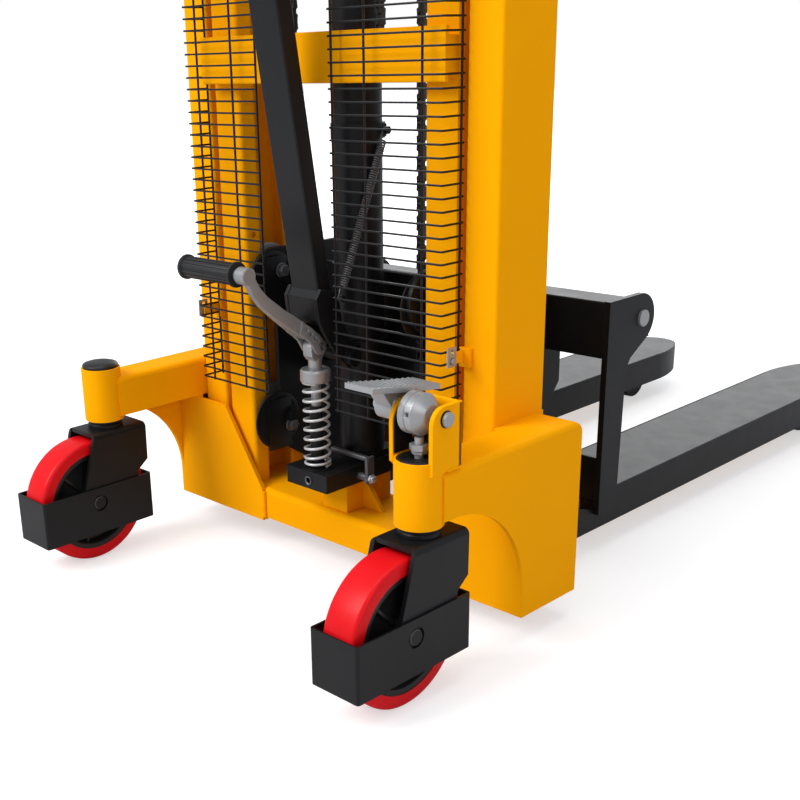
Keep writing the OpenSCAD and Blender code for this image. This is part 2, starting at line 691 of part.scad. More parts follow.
module bars(a, b, z1) {
  for (i = [0:wire_count - 1]) translate([a, mesh_z0 + i * wire_pitch - wire_r])
    square([b - a, 2 * wire_r]);
}
module guard(xa, fold, ups) {
  z1 = mesh_z0 + (wire_count - 1) * wire_pitch + 3;
  w = 2 * wire_r;
  h = z1 - mesh_z0 + 3;
  translate([0, mesh_y + wire_r, 0]) rotate([90, 0, 0]) linear_extrude(height = w) {
    bars(xa - 3, fold + wire_r);
    for (x = ups) translate([x - wire_r, mesh_z0 - 3]) square([w, h]);
  }
  translate([fold - wire_r, 0, 0]) rotate([90, 0, 90]) linear_extrude(height = w) {
    bars(mesh_y - wire_r, mast_y0);
    translate([mast_y0 - w, mesh_z0 - 3]) square([w, h]);
  }
}
fold_x = box_x0 + 2;
module mesh_r() color([0.04, 0.04, 0.04]) guard(50, fold_x, [50, 103.5, 194]);
module mesh_l() color([0.04, 0.04, 0.04]) left() guard(88.5, fold_x, [88.5, 137, 208]);

clip_z0 = mesh_z0 + 84;
clip_h = 24;
module clip(x = fold_x + wire_r) difference() {
  z1 = clip_z0 + clip_h;
  yc = mast_y0 - 17;
  union() {
    box(x, x + 3, mast_y0 - 30, mast_y0, clip_z0, z1);
    box(x, x + 20, mast_y0 - 3, mast_y0, clip_z0, z1);
    xhex(x + 2.9, x + 7, yc, clip_z0 + 7, 9);
  }
  xcyl(x - 1, x + 4, yc, clip_z0 + 18, 3);
}
module mesh_clips() color([0.75, 0.76, 0.77]) {
  for (i = [0:2]) translate([0, 0, i * clip_step]) {
    clip();
    left() clip();
  }
}

// chains, ram, sheaves

module strand(y, z0, z1) for (s = [-1, 1]) {
  n = floor((z1 - z0) / chain_pitch);
  box(s * chain_x - 3, s * chain_x + 3, y - 3, y + 3, z0, z1);
  for (i = [0:n - 1]) box(s * chain_x - 5.7, s * chain_x + 5.7, y - 4.6, y + 4.6,
    z0 + i * chain_pitch + 0.6, z0 + (i + 1) * chain_pitch - 0.6);
}
module chain_front() color([0.08, 0.08, 0.08]) strand(cyl_y + sheave_pr, anchor_z, sheave_z);
module chain_back() color([0.08, 0.08, 0.08]) strand(cyl_y - sheave_pr, tie_z, sheave_z);
module chain_top() color([0.08, 0.08, 0.08]) for (s = [-1, 1]) intersection() {
  difference() {
    xcyl(s * chain_x - 5.7, s * chain_x + 5.7, cyl_y, sheave_z, sheave_pr + 4.6, big);
    xcyl(s * chain_x - 7, s * chain_x + 7, cyl_y, sheave_z, sheave_pr - 4.6, big);
  }
  box(s * chain_x - 7, s * chain_x + 7, 0, 400, sheave_z, sheave_z + 80);
}

module sheave() difference() {
  xcyl(chain_x - sheave_w / 2 + rub, chain_x + sheave_w / 2 - rub, cyl_y, sheave_z, sheave_pr + 1, big);
  difference() {
    xcyl(chain_x - 6, chain_x + 6, cyl_y, sheave_z, sheave_pr + 2, big);
    xcyl(chain_x - 7, chain_x + 7, cyl_y, sheave_z, sheave_pr - 4.9, big);
  }
  xcyl(chain_x - 20, chain_x + 20, cyl_y, sheave_z, 8 + run);
}
module sheave_r() color([0.5, 0.5, 0.52]) sheave();
module sheave_l() color([0.5, 0.5, 0.52]) left() sheave();

module ram_rod() color([0.8, 0.81, 0.82]) zcyl(190, yoke_z + 20, 0, cyl_y, ram_r, big);

module ram_yoke() color([0.05, 0.05, 0.055]) {
  w = sheave_w / 2;
  difference() {
    box(-chain_x - w - 6, chain_x + w + 6, cyl_y - 24, cyl_y + 24, yoke_z - 4, yoke_z + 12);
    zcyl(yoke_z - 5, yoke_z + 13, 0, cyl_y, ram_r, big);
    for (s = [-1, 1]) for (y = [-1, 1]) box(s * chain_x - w, s * chain_x + w,
      cyl_y + y * sheave_pr - 18, cyl_y + y * sheave_pr + 18, yoke_z - 5, yoke_z + 13);
  }
  for (s = [-1, 1]) {
    for (x = [s * chain_x - w - 6, s * chain_x + w]) {
      box(x, x + 6, cyl_y - 16, cyl_y + 16, yoke_z + 11, sheave_z);
      xcyl(x, x + 6, cyl_y, sheave_z, 16);
    }
    xcyl(s * chain_x - w - 9, s * chain_x + w + 9, cyl_y, sheave_z, 8);
  }
}

// carriage and forks

beam_y0 = heel_y - 5;
notch_y0 = heel_y - 70;
module carriage_side() {
  yc = mast_y0 + 33;
  difference() {
    union() {
      yz(plate_x0, plate_x1, [[yc, fork_top + 56], [fork_y0, fork_top], [notch_y0, fork_top],
        [notch_y0 + 32, fork_top + 60], [heel_y + 33, fork_top + 146], [heel_y + 33, beam_top - beam_h],
        [beam_y0, beam_top - beam_h], [beam_y0, beam_top], [fork_y0 + 40, roller_z[1] + 40],
        [yc, roller_z[1] + 42]]);
      for (z = roller_z) xcyl(plate_x0, plate_x1, yc, z, 42, big);
    }
    for (z = roller_z) xcyl(plate_x0 - 1, plate_x1 + 1, rail_y_mid, z, axle_r - 2);
  }
  for (z = roller_z) {
    xcyl(plate_x1, roller_x1, rail_y_mid, z, axle_r);
    xcyl(plate_x0 - 2, plate_x1, rail_y_mid, z, axle_r - 2);
    xcyl(plate_x1, roller_x0 - 1, rail_y_mid, z, axle_r + 6);
    xhex(plate_x0 - 12, plate_x0 - 4, rail_y_mid, z, 19);
    xcyl(plate_x0 - 4, plate_x0, rail_y_mid, z, 15);
  }
}
module carriage_frame() color([0.05, 0.05, 0.055]) {
  carriage_side();
  left() carriage_side();
  // plate in front of the cylinder that the chains pull on
  y = mast_y1 + 6;
  box(-plate_x0, plate_x0, y, y + 10, anchor_z - 46, anchor_z + 120);
  for (s = [-1, 1]) box(s * chain_x - 10, s * chain_x + 10, y - 13, y, anchor_z - 26, anchor_z);
}

module roller(i) difference() {
  xcyl(roller_x0, roller_x1, rail_y_mid, roller_z[i], roller_r, big);
  xcyl(roller_x0 - 1, roller_x1 + 1, rail_y_mid, roller_z[i], axle_r + run);
}
module roller_r1() color([0.45, 0.45, 0.47]) roller(0);
module roller_r2() color([0.45, 0.45, 0.47]) roller(1);
module roller_l1() color([0.45, 0.45, 0.47]) left() roller(0);
module roller_l2() color([0.45, 0.45, 0.47]) left() roller(1);

// plan of a fork: straight flanks, then a tip drawn with three arcs
tip_len = 126;
arc_r = 240;
arc_c = arc_r - fork_w / 2;
nose_u = (pow(arc_c, 2) - pow(arc_r - tip_len, 2)) / (2 * (arc_r - tip_len));
nose_r = tip_len - nose_u;
module fork_plan(inset, z0, z1) {
  yt = fork_y1 - tip_len;
  h = z1 - z0;
  half = fork_w / 2 - inset;
  k = arc_r / (arc_r - nose_r);
  box(fork_x - half, fork_x + half, fork_y0 + inset, yt, z0, z1);
  intersection() {
    zcyl(z0, z1, fork_x - arc_c, yt, arc_r - inset, 200);
    zcyl(z0, z1, fork_x + arc_c, yt, arc_r - inset, 200);
    box(fork_x - half, fork_x + half, yt, yt + nose_u * k, z0, z1);
  }
  intersection() {
    zcyl(z0, z1, fork_x, yt + nose_u, nose_r - inset, big);
    box(fork_x - half, fork_x + half, yt + nose_u, fork_y1, z0, z1);
  }
}
module fork() {
  z0 = fork_top - fork_h;
  difference() {
    fork_plan(0, z0, fork_top);
    fork_plan(fork_t, z0 - 1, fork_top - fork_t);
    // clearance at the heel, where the legs run in
    box(fork_x - fork_w / 2 + fork_t, fork_x + fork_w / 2 - fork_t, fork_y0 - 1,
      fork_y0 + 60, z0 - 1, fork_top - fork_t);
    // notch that the lower cross beam sits in
    yz(fork_x - fork_w / 2 - 1, fork_x + fork_w / 2 + 1, [[notch_y0, fork_top + 1],
      [notch_y0, fork_top], [brace_y0, heel_z0 + 6], [brace_y0, heel_z0], [heel_y + heel_d, heel_z0],
      [heel_y + heel_d, fork_top + 1]]);
  }
}
module fork_r() color([0.07, 0.07, 0.075]) fork();
module fork_l() color([0.07, 0.07, 0.075]) left() fork();

module fork_brace() difference() {
  union() {
    yz(brace_x0, brace_x1, [[brace_y0, heel_z0], [brace_y1, heel_z0], [brace_y1 + 5, shaft_z - 68],
      [brace_y1 + 14, shaft_z - 53], [shaft_y + 16, shaft_z - 29], [shaft_y + 20, shaft_z - 30],
      [shaft_y, beam_top + 1], [brace_y0, beam_top + 1]]);
    xcyl(brace_x0, brace_x1, shaft_y - 4, shaft_z, eye_r - 1, big);
    // foot that closes the lower cross beam beside the straddle leg
    box(leg_x1 + 2, brace_x0 + 1, heel_y, heel_y + heel_d, heel_z0, leg_z1 + 2);
  }
  xcyl(brace_x0 - 1, brace_x1 + 1, shaft_y, shaft_z, shaft_r);
}
module fork_braces() color([0.05, 0.05, 0.055]) {
  fork_brace();
  left() fork_brace();
}

// rectangular tube between the two fork braces
module tube_x(y0, y1, z0, z1) difference() {
  box(-brace_x0, brace_x0, y0, y1, z0, z1);
  box(-brace_x0 - 1, brace_x0 + 1, y0 + wall, y1 - wall, z0 + wall, z1 - wall);
}
module cross_beams() color([0.05, 0.05, 0.055]) {
  tube_x(beam_y0, beam_y0 + beam_d, beam_top - beam_h, beam_top);
  // the lower one passes over the straddle legs
  tube_x(heel_y, heel_y + heel_d, leg_z1 + 2, heel_z1);
}

module fork_shaft() color([0.7, 0.71, 0.72]) {
  xcyl(-brace_x1 - 4, brace_x1 + 4, shaft_y, shaft_z, shaft_r);
}

// casters

module caster_fork() {
  x = swivel_x;
  h = yoke_half;
  t = yoke_t;
  difference() {
    union() {
      box(x - h, x + h, -42, 48, yoke_top - t, yoke_top);
      for (s = [0, 1]) {
        x0 = s > 0 ? x + h - t : x - h;
        yz(x0, x0 + t, [[-42, yoke_top], [48, yoke_top], [47, 135], [30, 122], [16, 76],
          [-trail + 18, 68], [-trail - 18, 68], [-72, 88], [-66, 112]]);
      }
    }
    for (s = [-1, 1]) y_edge(x + s * (h + eps), yoke_top + eps, -s, -1, 8, -60, 60);
    for (s = [-1, 1]) xcyl(x - h - 1, x + h + 1, -trail, wheel_r, 8);
  }
  // swivel race and king pin
  zcyl(yoke_top - 1, tube_z0 + 21.7, x, 0, 23, big);
  zcyl(tube_z0 + 21, tube_z1 - 27, x, 0, 10, mid);
  // axle with its round heads
  xcyl(x - axle_half, x + axle_half, -trail, wheel_r, 8);
  for (s = [-1, 1]) xcyl(min(x + s * yoke_half, x + s * axle_half),
    max(x + s * yoke_half, x + s * axle_half), -trail, wheel_r, axle_head_r);
}
module caster_fork_r() color([0.06, 0.06, 0.065]) caster_fork();
module caster_fork_l() color([0.06, 0.06, 0.065]) left() caster_fork();

module foot_guard() {
  x = swivel_x;
  g = guard_half;
  z0 = guard_z0;
  z1 = guard_z0 + guard_h;
  difference() {
    box(x - g, x + g, -trail - guard_reach, -trail + guard_reach, z0, z1);
    box(x - g + guard_t, x + g - guard_t, -trail - guard_reach + guard_t,
      -trail + guard_reach - guard_t, z0 - 1, z1 + 1);
    for (s = [-1, 1]) for (q = [-1, 1])
      z_edge(x + s * (g + eps), -trail + q * (guard_reach + eps), -s, -q, 4, z0 - 1, z1 + 1);
    xcyl(x - g - 1, x + g + 1, -trail, wheel_r, guard_hole);
  }
}
module foot_guard_r() color([0.06, 0.06, 0.065]) foot_guard();
module foot_guard_l() color([0.06, 0.06, 0.065]) left() foot_guard();

tyre_t = 17;
module wheel_hub() {
  x = swivel_x;
  w = wheel_w / 2;
  r = wheel_r - tyre_t;
  difference() {
    xcyl(x - w, x + w, -trail, wheel_r, r, big);
    for (s = [-1, 1]) {
      a = s > 0 ? x + 8 : x - w - 1;
      difference() {
        xcyl(a, a + w - 7, -trail, wheel_r, r - 7, big);
        xcyl(a - 1, a + w - 6, -trail, wheel_r, 22, big);
        for (k = [0:7]) translate([a - 1, -trail, wheel_r]) rotate([k * 45, 0, 0])
          translate([0, 0, 20]) translate([0, -3, 0]) cube([w, 6, r - 24]);
      }
    }
    xcyl(x - w - 1, x + w + 1, -trail, wheel_r, 8 + run);
  }
}
module wheel_hub_r() color([0.07, 0.07, 0.07]) wheel_hub();
module wheel_hub_l() color([0.07, 0.07, 0.07]) left() wheel_hub();

module tyre() {
  x = swivel_x;
  w = wheel_w / 2;
  c = 4;
  translate([x - w, -trail, wheel_r]) rotate([0, 90, 0]) rotate_extrude($fn = big * 2)
    polygon([[wheel_r - tyre_t, 0], [wheel_r - c - 3, 0], [wheel_r - 1, 2.5], [wheel_r, c + 3],
      [wheel_r, 2 * w - c - 3], [wheel_r - 1, 2 * w - 2.5], [wheel_r - c - 3, 2 * w],
      [wheel_r - tyre_t, 2 * w]]);
}
module tyre_r() color([0.86, 0.08, 0.1]) tyre();
module tyre_l() color([0.86, 0.08, 0.1]) left() tyre();

// brake

ear_x0 = 279;
ear_x1 = 337;
module brake_bracket() color([1, 0.69, 0]) {
  y0 = -12;
  y1 = 37;
  z0 = arm_z1;
  z1 = 343;
  difference() {
    box(ear_x0, ear_x1, y0, y1, z0, z1);
    box(ear_x0 + 6, ear_x1 - 6, y0 - 1, y1 - 6, z0 - 1, z1 + 1);
    x_edge(y0 - eps, z1 + eps, 1, -1, 20, ear_x0 - 1, ear_x1 + 1);
    xcyl(ear_x0 - 1, ear_x1 + 1, brake_y, brake_z, 7 + run);
    zcyl(z0 - 1, tube_z1, swivel_x, 0, tube_r, big);
    for (s = [0, 1]) z_edge(s > 0 ? ear_x1 + eps : ear_x0 - eps, y1 + eps, s > 0 ? -1 : 1, -1, 4,
      z0 - 1, z1 + 1);
  }
}

cam_a = 15;
cam_y = brake_y - drum_e * cos(cam_a);
cam_z = brake_z + drum_e * sin(cam_a);
module brake_pedal() color([0.7, 0.71, 0.73]) {
  // shaft, cam drum and its boss
  xcyl(236, ear_x1 + 4, brake_y, brake_z, 7);
  difference() {
    xcyl(289, 311, cam_y, cam_z, drum_r, big);
    // hole for the set screw
    translate([305, cam_y, cam_z]) rotate([80, 0, 0]) translate([0, 0, drum_r - 8])
      cylinder(r = 3.2, h = 9, $fn = small);
  }
  xcyl(311, ear_x1 - 6 - rub, brake_y, brake_z, 10);
  // hub outside the bracket, web and chequered tread in two halves
  xcyl(244, ear_x0 - rub, brake_y, brake_z, 15);
  difference() {
    yz(248, 274, [[brake_y - 14, brake_z + 3], [brake_y + 14, brake_z + 3], [brake_y + 22, 352],
      [brake_y - 30, 356.5], [brake_y - 26, 351]]);
    xcyl(240, 280, brake_y, brake_z, 7);
  }
  yz(243, 285, [[brake_y - 59, 359.3], [brake_y - 59, 364], [brake_y, 358], [brake_y + 55, 347.5],
    [brake_y + 55, 343], [brake_y, 353.2]]);
}

module brake_rod() color([0.72, 0.73, 0.74]) {
  zcyl(tube_z1 - 20, cam_z - drum_r - rub, swivel_x, 0, 7, mid);
  zhex(289, 297, swivel_x, 0, 22);
  zhex(284, 288, swivel_x, 0, 17);
}

module tube_caps() color([0.05, 0.05, 0.055]) {
  left() zcyl(tube_z1 - 6, tube_z1 + 2, swivel_x, 0, tube_r - 3, big);
  left() zcyl(tube_z1, tube_z1 + 4, swivel_x, 0, tube_r - 0.5, big);
  difference() {
    zcyl(tube_z1 - 6, tube_z1 - 1, swivel_x, 0, tube_r - 3, big);
    zcyl(tube_z1 - 7, tube_z1, swivel_x, 0, 7 + run, mid);
  }
}

place() base_crossbeam();
place() side_frame_r();
place() side_frame_l();
place() caster_tubes();
place() leg_r();
place() leg_l();
place() mast_rail_r();
place() mast_rail_l();
place() mast_box_r();
place() mast_box_l();
place() mast_top_beam();
place() mast_tie();
place() pump_pedestal();
place() pump_block();
place() lift_cylinder();
place() cylinder_clamps();
place() pump_plunger();
place() plunger_spring();
place() release_lever();
place() rocker();
place() tiller_tube();
place() tiller_handle();
place() hand_lever();
place() foot_lever();
place() foot_grip();
place() tiller_spring();
place() mesh_r();
place() mesh_l();
place() mesh_clips();
place() chain_front();
place() chain_back();
place() chain_top();
place() sheave_r();
place() sheave_l();
place() ram_rod();
place() ram_yoke();
place() carriage_frame();
place() roller_r1();
place() roller_r2();
place() roller_l1();
place() roller_l2();
place() fork_r();
place() fork_l();
place() fork_braces();
place() cross_beams();
place() fork_shaft();
place() caster_fork_r();
place() caster_fork_l();
place() foot_guard_r();
place() foot_guard_l();
place() wheel_hub_r();
place() wheel_hub_l();
place() tyre_r();
place() tyre_l();
place() brake_bracket();
place() brake_pedal();
place() brake_rod();
place() tube_caps();
place() load_roller_r();
place() load_roller_l();
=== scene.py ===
"""Looks of the pallet stacker: finishes, wire guards, springs, wheels, fittings and welds.

Lengths are millimetres measured as in the drawing: X across, Y from the caster
swivels to the fork tips, Z up from the floor. at() turns them into the frame's metres.
"""
import json
import math

import bmesh
import bpy
from mathutils import Matrix, Vector


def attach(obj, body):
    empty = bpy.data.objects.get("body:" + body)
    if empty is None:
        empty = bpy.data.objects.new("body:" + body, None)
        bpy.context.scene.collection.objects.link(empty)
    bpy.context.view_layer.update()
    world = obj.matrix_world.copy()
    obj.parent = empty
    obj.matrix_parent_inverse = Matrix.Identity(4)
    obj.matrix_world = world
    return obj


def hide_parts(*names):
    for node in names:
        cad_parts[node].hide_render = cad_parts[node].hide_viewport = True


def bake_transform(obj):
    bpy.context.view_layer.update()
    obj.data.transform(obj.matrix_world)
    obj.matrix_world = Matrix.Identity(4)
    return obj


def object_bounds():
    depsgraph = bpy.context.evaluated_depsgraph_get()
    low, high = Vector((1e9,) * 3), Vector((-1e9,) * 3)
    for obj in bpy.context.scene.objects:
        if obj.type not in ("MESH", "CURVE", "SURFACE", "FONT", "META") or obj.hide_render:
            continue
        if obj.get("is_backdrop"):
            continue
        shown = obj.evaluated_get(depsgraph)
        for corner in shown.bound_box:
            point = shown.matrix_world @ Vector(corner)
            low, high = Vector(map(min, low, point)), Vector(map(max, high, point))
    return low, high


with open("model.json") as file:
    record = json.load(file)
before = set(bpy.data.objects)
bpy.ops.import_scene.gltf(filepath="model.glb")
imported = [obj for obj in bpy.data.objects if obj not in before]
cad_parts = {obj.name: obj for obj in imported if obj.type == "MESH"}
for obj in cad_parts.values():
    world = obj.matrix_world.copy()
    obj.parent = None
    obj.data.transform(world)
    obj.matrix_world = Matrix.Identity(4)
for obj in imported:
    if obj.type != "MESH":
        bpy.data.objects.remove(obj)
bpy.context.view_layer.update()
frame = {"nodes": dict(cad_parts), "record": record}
nodes = frame["nodes"]
bpy.ops.object.select_all(action="DESELECT")

MM = 0.001
Y_SHIFT = 609.0
SIDES = (("r", 1), ("l", -1))


def at(x, y, z):
    """A point of the drawing, in the frame's metres."""
    return Vector((x, y - Y_SHIFT, z)) * MM


# finishes

def new_material(name):
    material = bpy.data.materials.new(name)
    material.use_nodes = True
    return material, material.node_tree, material.node_tree.nodes["Principled BSDF"]


def noise(tree, scale, detail, stretch=(1, 1, 1)):
    """Noise over the object's own coordinates, with the pattern stretched along an axis."""
    place = tree.nodes.new("ShaderNodeTexCoord")
    mapping = tree.nodes.new("ShaderNodeMapping")
    mapping.inputs["Scale"].default_value = stretch
    texture = tree.nodes.new("ShaderNodeTexNoise")
    texture.inputs["Scale"].default_value = scale
    texture.inputs["Detail"].default_value = detail
    tree.links.new(place.outputs["Object"], mapping.inputs["Vector"])
    tree.links.new(mapping.outputs["Vector"], texture.inputs["Vector"])
    return texture.outputs["Fac"]


def spread(tree, value, low, high):
    """Maps the middle of a noise onto low to high."""
    node = tree.nodes.new("ShaderNodeMapRange")
    node.inputs["From Min"].default_value = 0.3
    node.inputs["From Max"].default_value = 0.7
    node.inputs["To Min"].default_value = low
    node.inputs["To Max"].default_value = high
    tree.links.new(value, node.inputs["Value"])
    return node.outputs["Result"]


def finish(name, colour, shade, rough, metal=0.0, coat=0.0, patch=5.0, grain=450.0,
           depth=0.05, stretch=(1, 1, 1), rough_span=0.06, specular=0.5):
    """Colour that drifts a little over the surface, with uneven gloss and a fine bump."""
    material, tree, shader = new_material(name)
    mix = tree.nodes.new("ShaderNodeMix")
    mix.data_type = "RGBA"
    mix.inputs["A"].default_value = (*colour, 1)
    mix.inputs["B"].default_value = (*[c * shade for c in colour], 1)
    drift = spread(tree, noise(tree, patch, 4), 0, 1)
    tree.links.new(drift, mix.inputs["Factor"])
    tree.links.new(mix.outputs["Result"], shader.inputs["Base Color"])
    gloss = spread(tree, noise(tree, 38, 5, stretch), rough - rough_span, rough + rough_span)
    tree.links.new(gloss, shader.inputs["Roughness"])
    bump = tree.nodes.new("ShaderNodeBump")
    bump.inputs["Strength"].default_value = depth
    bump.inputs["Distance"].default_value = 0.001
    tree.links.new(noise(tree, grain, 2, stretch), bump.inputs["Height"])
    tree.links.new(bump.outputs["Normal"], shader.inputs["Normal"])
    shader.inputs["Metallic"].default_value = metal
    shader.inputs["Specular IOR Level"].default_value = specular
    shader.inputs["Coat Weight"].default_value = coat
    shader.inputs["Coat Roughness"].default_value = 0.22
    return material


FINISH = {
    "yellow_paint": finish("yellow_powder_coat", (0.95, 0.385, 0.0012), 0.955, 0.5, grain=520,
                           depth=0.05, specular=0.012),
    "black_paint": finish("black_powder_coat", (0.006, 0.0063, 0.0072), 1.15, 0.4, grain=620,
                          depth=0.08, specular=0.24, rough_span=0.025),
    "bare_steel": finish("zinc_plate", (0.37, 0.38, 0.39), 0.86, 0.36, metal=0.55, grain=900,
                         depth=0.04, stretch=(1, 1, 0.3)),
    "dark_steel": finish("dark_steel", (0.12, 0.122, 0.128), 1.25, 0.38, metal=0.6, grain=800,
                         depth=0.06),
    "cast_alu": finish("cast_aluminium", (0.29, 0.295, 0.3), 0.85, 0.42, metal=0.35, grain=700,
                       depth=0.12),
    "red_tyre": finish("red_polyurethane", (0.7, 0.004, 0.008), 0.9, 0.36, patch=14,
                       grain=300, depth=0.03, specular=0.16),
    "black_plastic": finish("moulded_black", (0.008, 0.008, 0.0085), 1.3, 0.42, grain=900,
                            depth=0.08, specular=0.35),
    "grip_rubber": finish("grip_rubber", (0.011, 0.011, 0.012), 1.3, 0.5, grain=1100,
                          depth=0.12, specular=0.35),
    "chain_steel": finish("oiled_chain", (0.07, 0.07, 0.072), 0.7, 0.35, metal=0.7),
    "spring_wire": finish("plated_spring_wire", (0.58, 0.585, 0.59), 0.92, 0.36, metal=0.4,
                          grain=900, depth=0.03),
    "red_lever": finish("red_plastic", (0.45, 0.01, 0.012), 0.85, 0.3, coat=0.2),
}
SLOT_OF = {row["node"]: row.get("material_slot", row["node"])
           for row in frame["record"]["subparts"]}
BODY_OF = {node: body for body, group in frame["record"]["behaviour"]["bodies"].items()
           for node in group}


# bench tools

def pick(piece):
    """Selects one piece alone and makes it the active one."""
    bpy.ops.object.select_all(action="DESELECT")
    piece.select_set(True)
    bpy.context.view_layer.objects.active = piece


def edit_all(piece):
    pick(piece)
    bpy.ops.object.mode_set(mode="EDIT")
    bpy.ops.mesh.select_all(action="SELECT")


def leave_edit():
    bpy.ops.object.mode_set(mode="OBJECT")


def settle(piece):
    """Puts the place, turn and size of the object into its mesh."""
    pick(piece)
    bpy.ops.object.transform_apply(location=True, rotation=True, scale=True)


def modify(piece, kind, **settings):
    pick(piece)
    modifier = piece.modifiers.new(kind.title(), kind)
    for key, value in settings.items():
        setattr(modifier, key, value)
    bpy.ops.object.modifier_apply(modifier=modifier.name)


def outward(piece, merge=1e-6):
    """Merges doubles and points every face outwards."""
    edit_all(piece)
    bpy.ops.mesh.remove_doubles(threshold=merge)
    bpy.ops.mesh.normals_make_consistent(inside=False)
    leave_edit()


def smooth(piece, angle=35):
    pick(piece)
    bpy.ops.object.shade_smooth_by_angle(angle=math.radians(angle))


def join(name, pieces):
    pick(pieces[0])
    for piece in pieces:
        piece.select_set(True)
    if len(pieces) > 1:
        bpy.ops.object.join()
    pieces[0].name = name
    return pieces[0]


def copy_of(piece, name):
    twin = bpy.data.objects.new(name, piece.data.copy())
    bpy.context.scene.collection.objects.link(twin)
    return twin


def swung(piece, pivot, angle, goal=None):
    """Turns a finished piece about a line along X through pivot, and shifts pivot to goal."""
    piece.location = -at(*pivot)
    settle(piece)
    piece.rotation_euler = (angle, 0, 0)
    piece.location = at(*(goal or pivot))
    settle(piece)
    return piece


def dress(piece, slot, body, *replaced):
    """Gives a finished piece its finish, the body it moves with and the nodes it stands for."""
    piece.data.materials.clear()
    piece.data.materials.append(FINISH[slot])
    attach(piece, body)
    if replaced:
        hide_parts(*replaced)
    return piece


def turned(rings, origin, axis="X", sides=32, hollow=False):
    """Turned piece: a circle extruded and scaled from ring to ring (radius, distance)."""
    radius, start = rings[0]
    bpy.ops.mesh.primitive_circle_add(
        vertices=sides, radius=radius * MM, location=(0, 0, start * MM),
        fill_type="NOTHING" if hollow else "NGON")
    piece = bpy.context.object
    settle(piece)
    edit_all(piece)
    for size, height in rings[1:]:
        bpy.ops.mesh.extrude_region_move(
            TRANSFORM_OT_translate={"value": (0, 0, (height - start) * MM)})
        bpy.ops.transform.resize(value=(size / radius, size / radius, 1),
                                 center_override=(0, 0, height * MM))
        radius, start = size, height
    leave_edit()
    turn = {"X": (0, math.pi / 2, 0), "Y": (-math.pi / 2, 0, 0), "Z": (0, 0, 0)}[axis]
    piece.rotation_euler = turn
    piece.location = at(*origin)
    settle(piece)
    outward(piece)
    smooth(piece)
    return piece


def wire(points, radius, sides=8, swell=None):
    """Round wire or bead along points in millimetres; swell scales it from point to point."""
    data = bpy.data.curves.new("wire", "CURVE")
    data.dimensions = "3D"
    data.bevel_depth = radius * MM
    data.bevel_resolution = max(0, (sides - 4) // 2)
    data.use_fill_caps = True
    spline = data.splines.new("POLY")
    spline.points.add(len(points) - 1)
    for i, point in enumerate(points):
        spline.points[i].co = (*at(*point), 1)
        spline.points[i].radius = swell[i] if swell else 1.0
    piece = bpy.data.objects.new("wire", data)
    bpy.context.scene.collection.objects.link(piece)
    pick(piece)
    bpy.ops.object.convert(target="MESH")
    piece = bpy.context.object
    outward(piece)
    smooth(piece, 60)
    return piece


def arc(u, v, radius, start, end, count=8):
    """Points on an arc, from one angle to another in degrees."""
    angles = [math.radians(start + (end - start) * k / (count - 1)) for k in range(count)]
    return [(u + radius * math.cos(a), v + radius * math.sin(a)) for a in angles]


def plate(outline, thickness, plane, level, holes=(), edge=0.6, soft=1):
    """Flat plate from a filled outline (u, v), given its thickness, with softened edges.

    plane YZ: u is Y and v is Z, level is X; plane XZ: u is X, v is Z, level is Y.
    A hole is (u, v, radius) or a list of points."""
    data = bpy.data.curves.new("plate", "CURVE")
    data.dimensions = "2D"
    data.fill_mode = "BOTH"
    data.extrude = (thickness / 2 - edge) * MM
    data.bevel_depth = edge * MM
    data.bevel_resolution = soft
    data.offset = -edge * MM
    rounds = [arc(*hole, 0, 345, 24) if len(hole) == 3 else hole for hole in holes]
    for loop in [outline, *rounds]:
        spline = data.splines.new("POLY")
        spline.points.add(len(loop) - 1)
        for i, (u, v) in enumerate(loop):
            spline.points[i].co = (u * MM, v * MM, 0, 1)
        spline.use_cyclic_u = True
    piece = bpy.data.objects.new("plate", data)
    bpy.context.scene.collection.objects.link(piece)
    pick(piece)
    bpy.ops.object.convert(target="MESH")
    piece = bpy.context.object
    spin = {"YZ": Matrix(((0, 0, 1), (1, 0, 0), (0, 1, 0))),
            "XZ": Matrix(((1, 0, 0), (0, 0, -1), (0, 1, 0)))}[plane]
    piece.rotation_euler = spin.to_euler()
    piece.location = at(*{"YZ": (level, 0, 0), "XZ": (0, level, 0)}[plane])
    settle(piece)
    outward(piece)
    smooth(piece, 20)
    return piece


def block(low, high, edge=1.0, segments=2):
    """Solid block between two corners, with its edges bevelled."""
    a, b = at(*low), at(*high)
    bpy.ops.mesh.primitive_cube_add(size=1, location=(a + b) / 2, scale=b - a)
    piece = bpy.context.object
    settle(piece)
    edit_all(piece)
    bpy.ops.mesh.bevel(offset=edge * MM, segments=segments, affect="EDGES")
    leave_edit()
    smooth(piece)
    return piece


def lofted(sections, edge=1.0):
    """Bar with a rectangular section that changes along its path in Y and Z.

    A section is (y, z, heading in degrees, half depth, x low, x high)."""
    mesh = bmesh.new()
    rings = []
    for y, z, heading, half, x0, x1 in sections:
        a = math.radians(heading + 90)
        n = (half * math.cos(a), half * math.sin(a))
        rings.append([mesh.verts.new(at(x, y + k * n[0], z + k * n[1]))
                      for x, k in ((x0, 1), (x1, 1), (x1, -1), (x0, -1))])
    for a, b in zip(rings, rings[1:]):
        for i in range(4):
            mesh.faces.new((a[i], a[i - 1], b[i - 1], b[i]))
    mesh.faces.new(rings[0])
    mesh.faces.new(list(reversed(rings[-1])))
    data = bpy.data.meshes.new("loft")
    mesh.to_mesh(data)
    mesh.free()
    piece = bpy.data.objects.new("loft", data)
    bpy.context.scene.collection.objects.link(piece)
    outward(piece)
    modify(piece, "BEVEL", width=edge * MM, segments=3, limit_method="ANGLE",
           angle_limit=math.radians(50), use_clamp_overlap=True)
    smooth(piece, 40)
    return piece


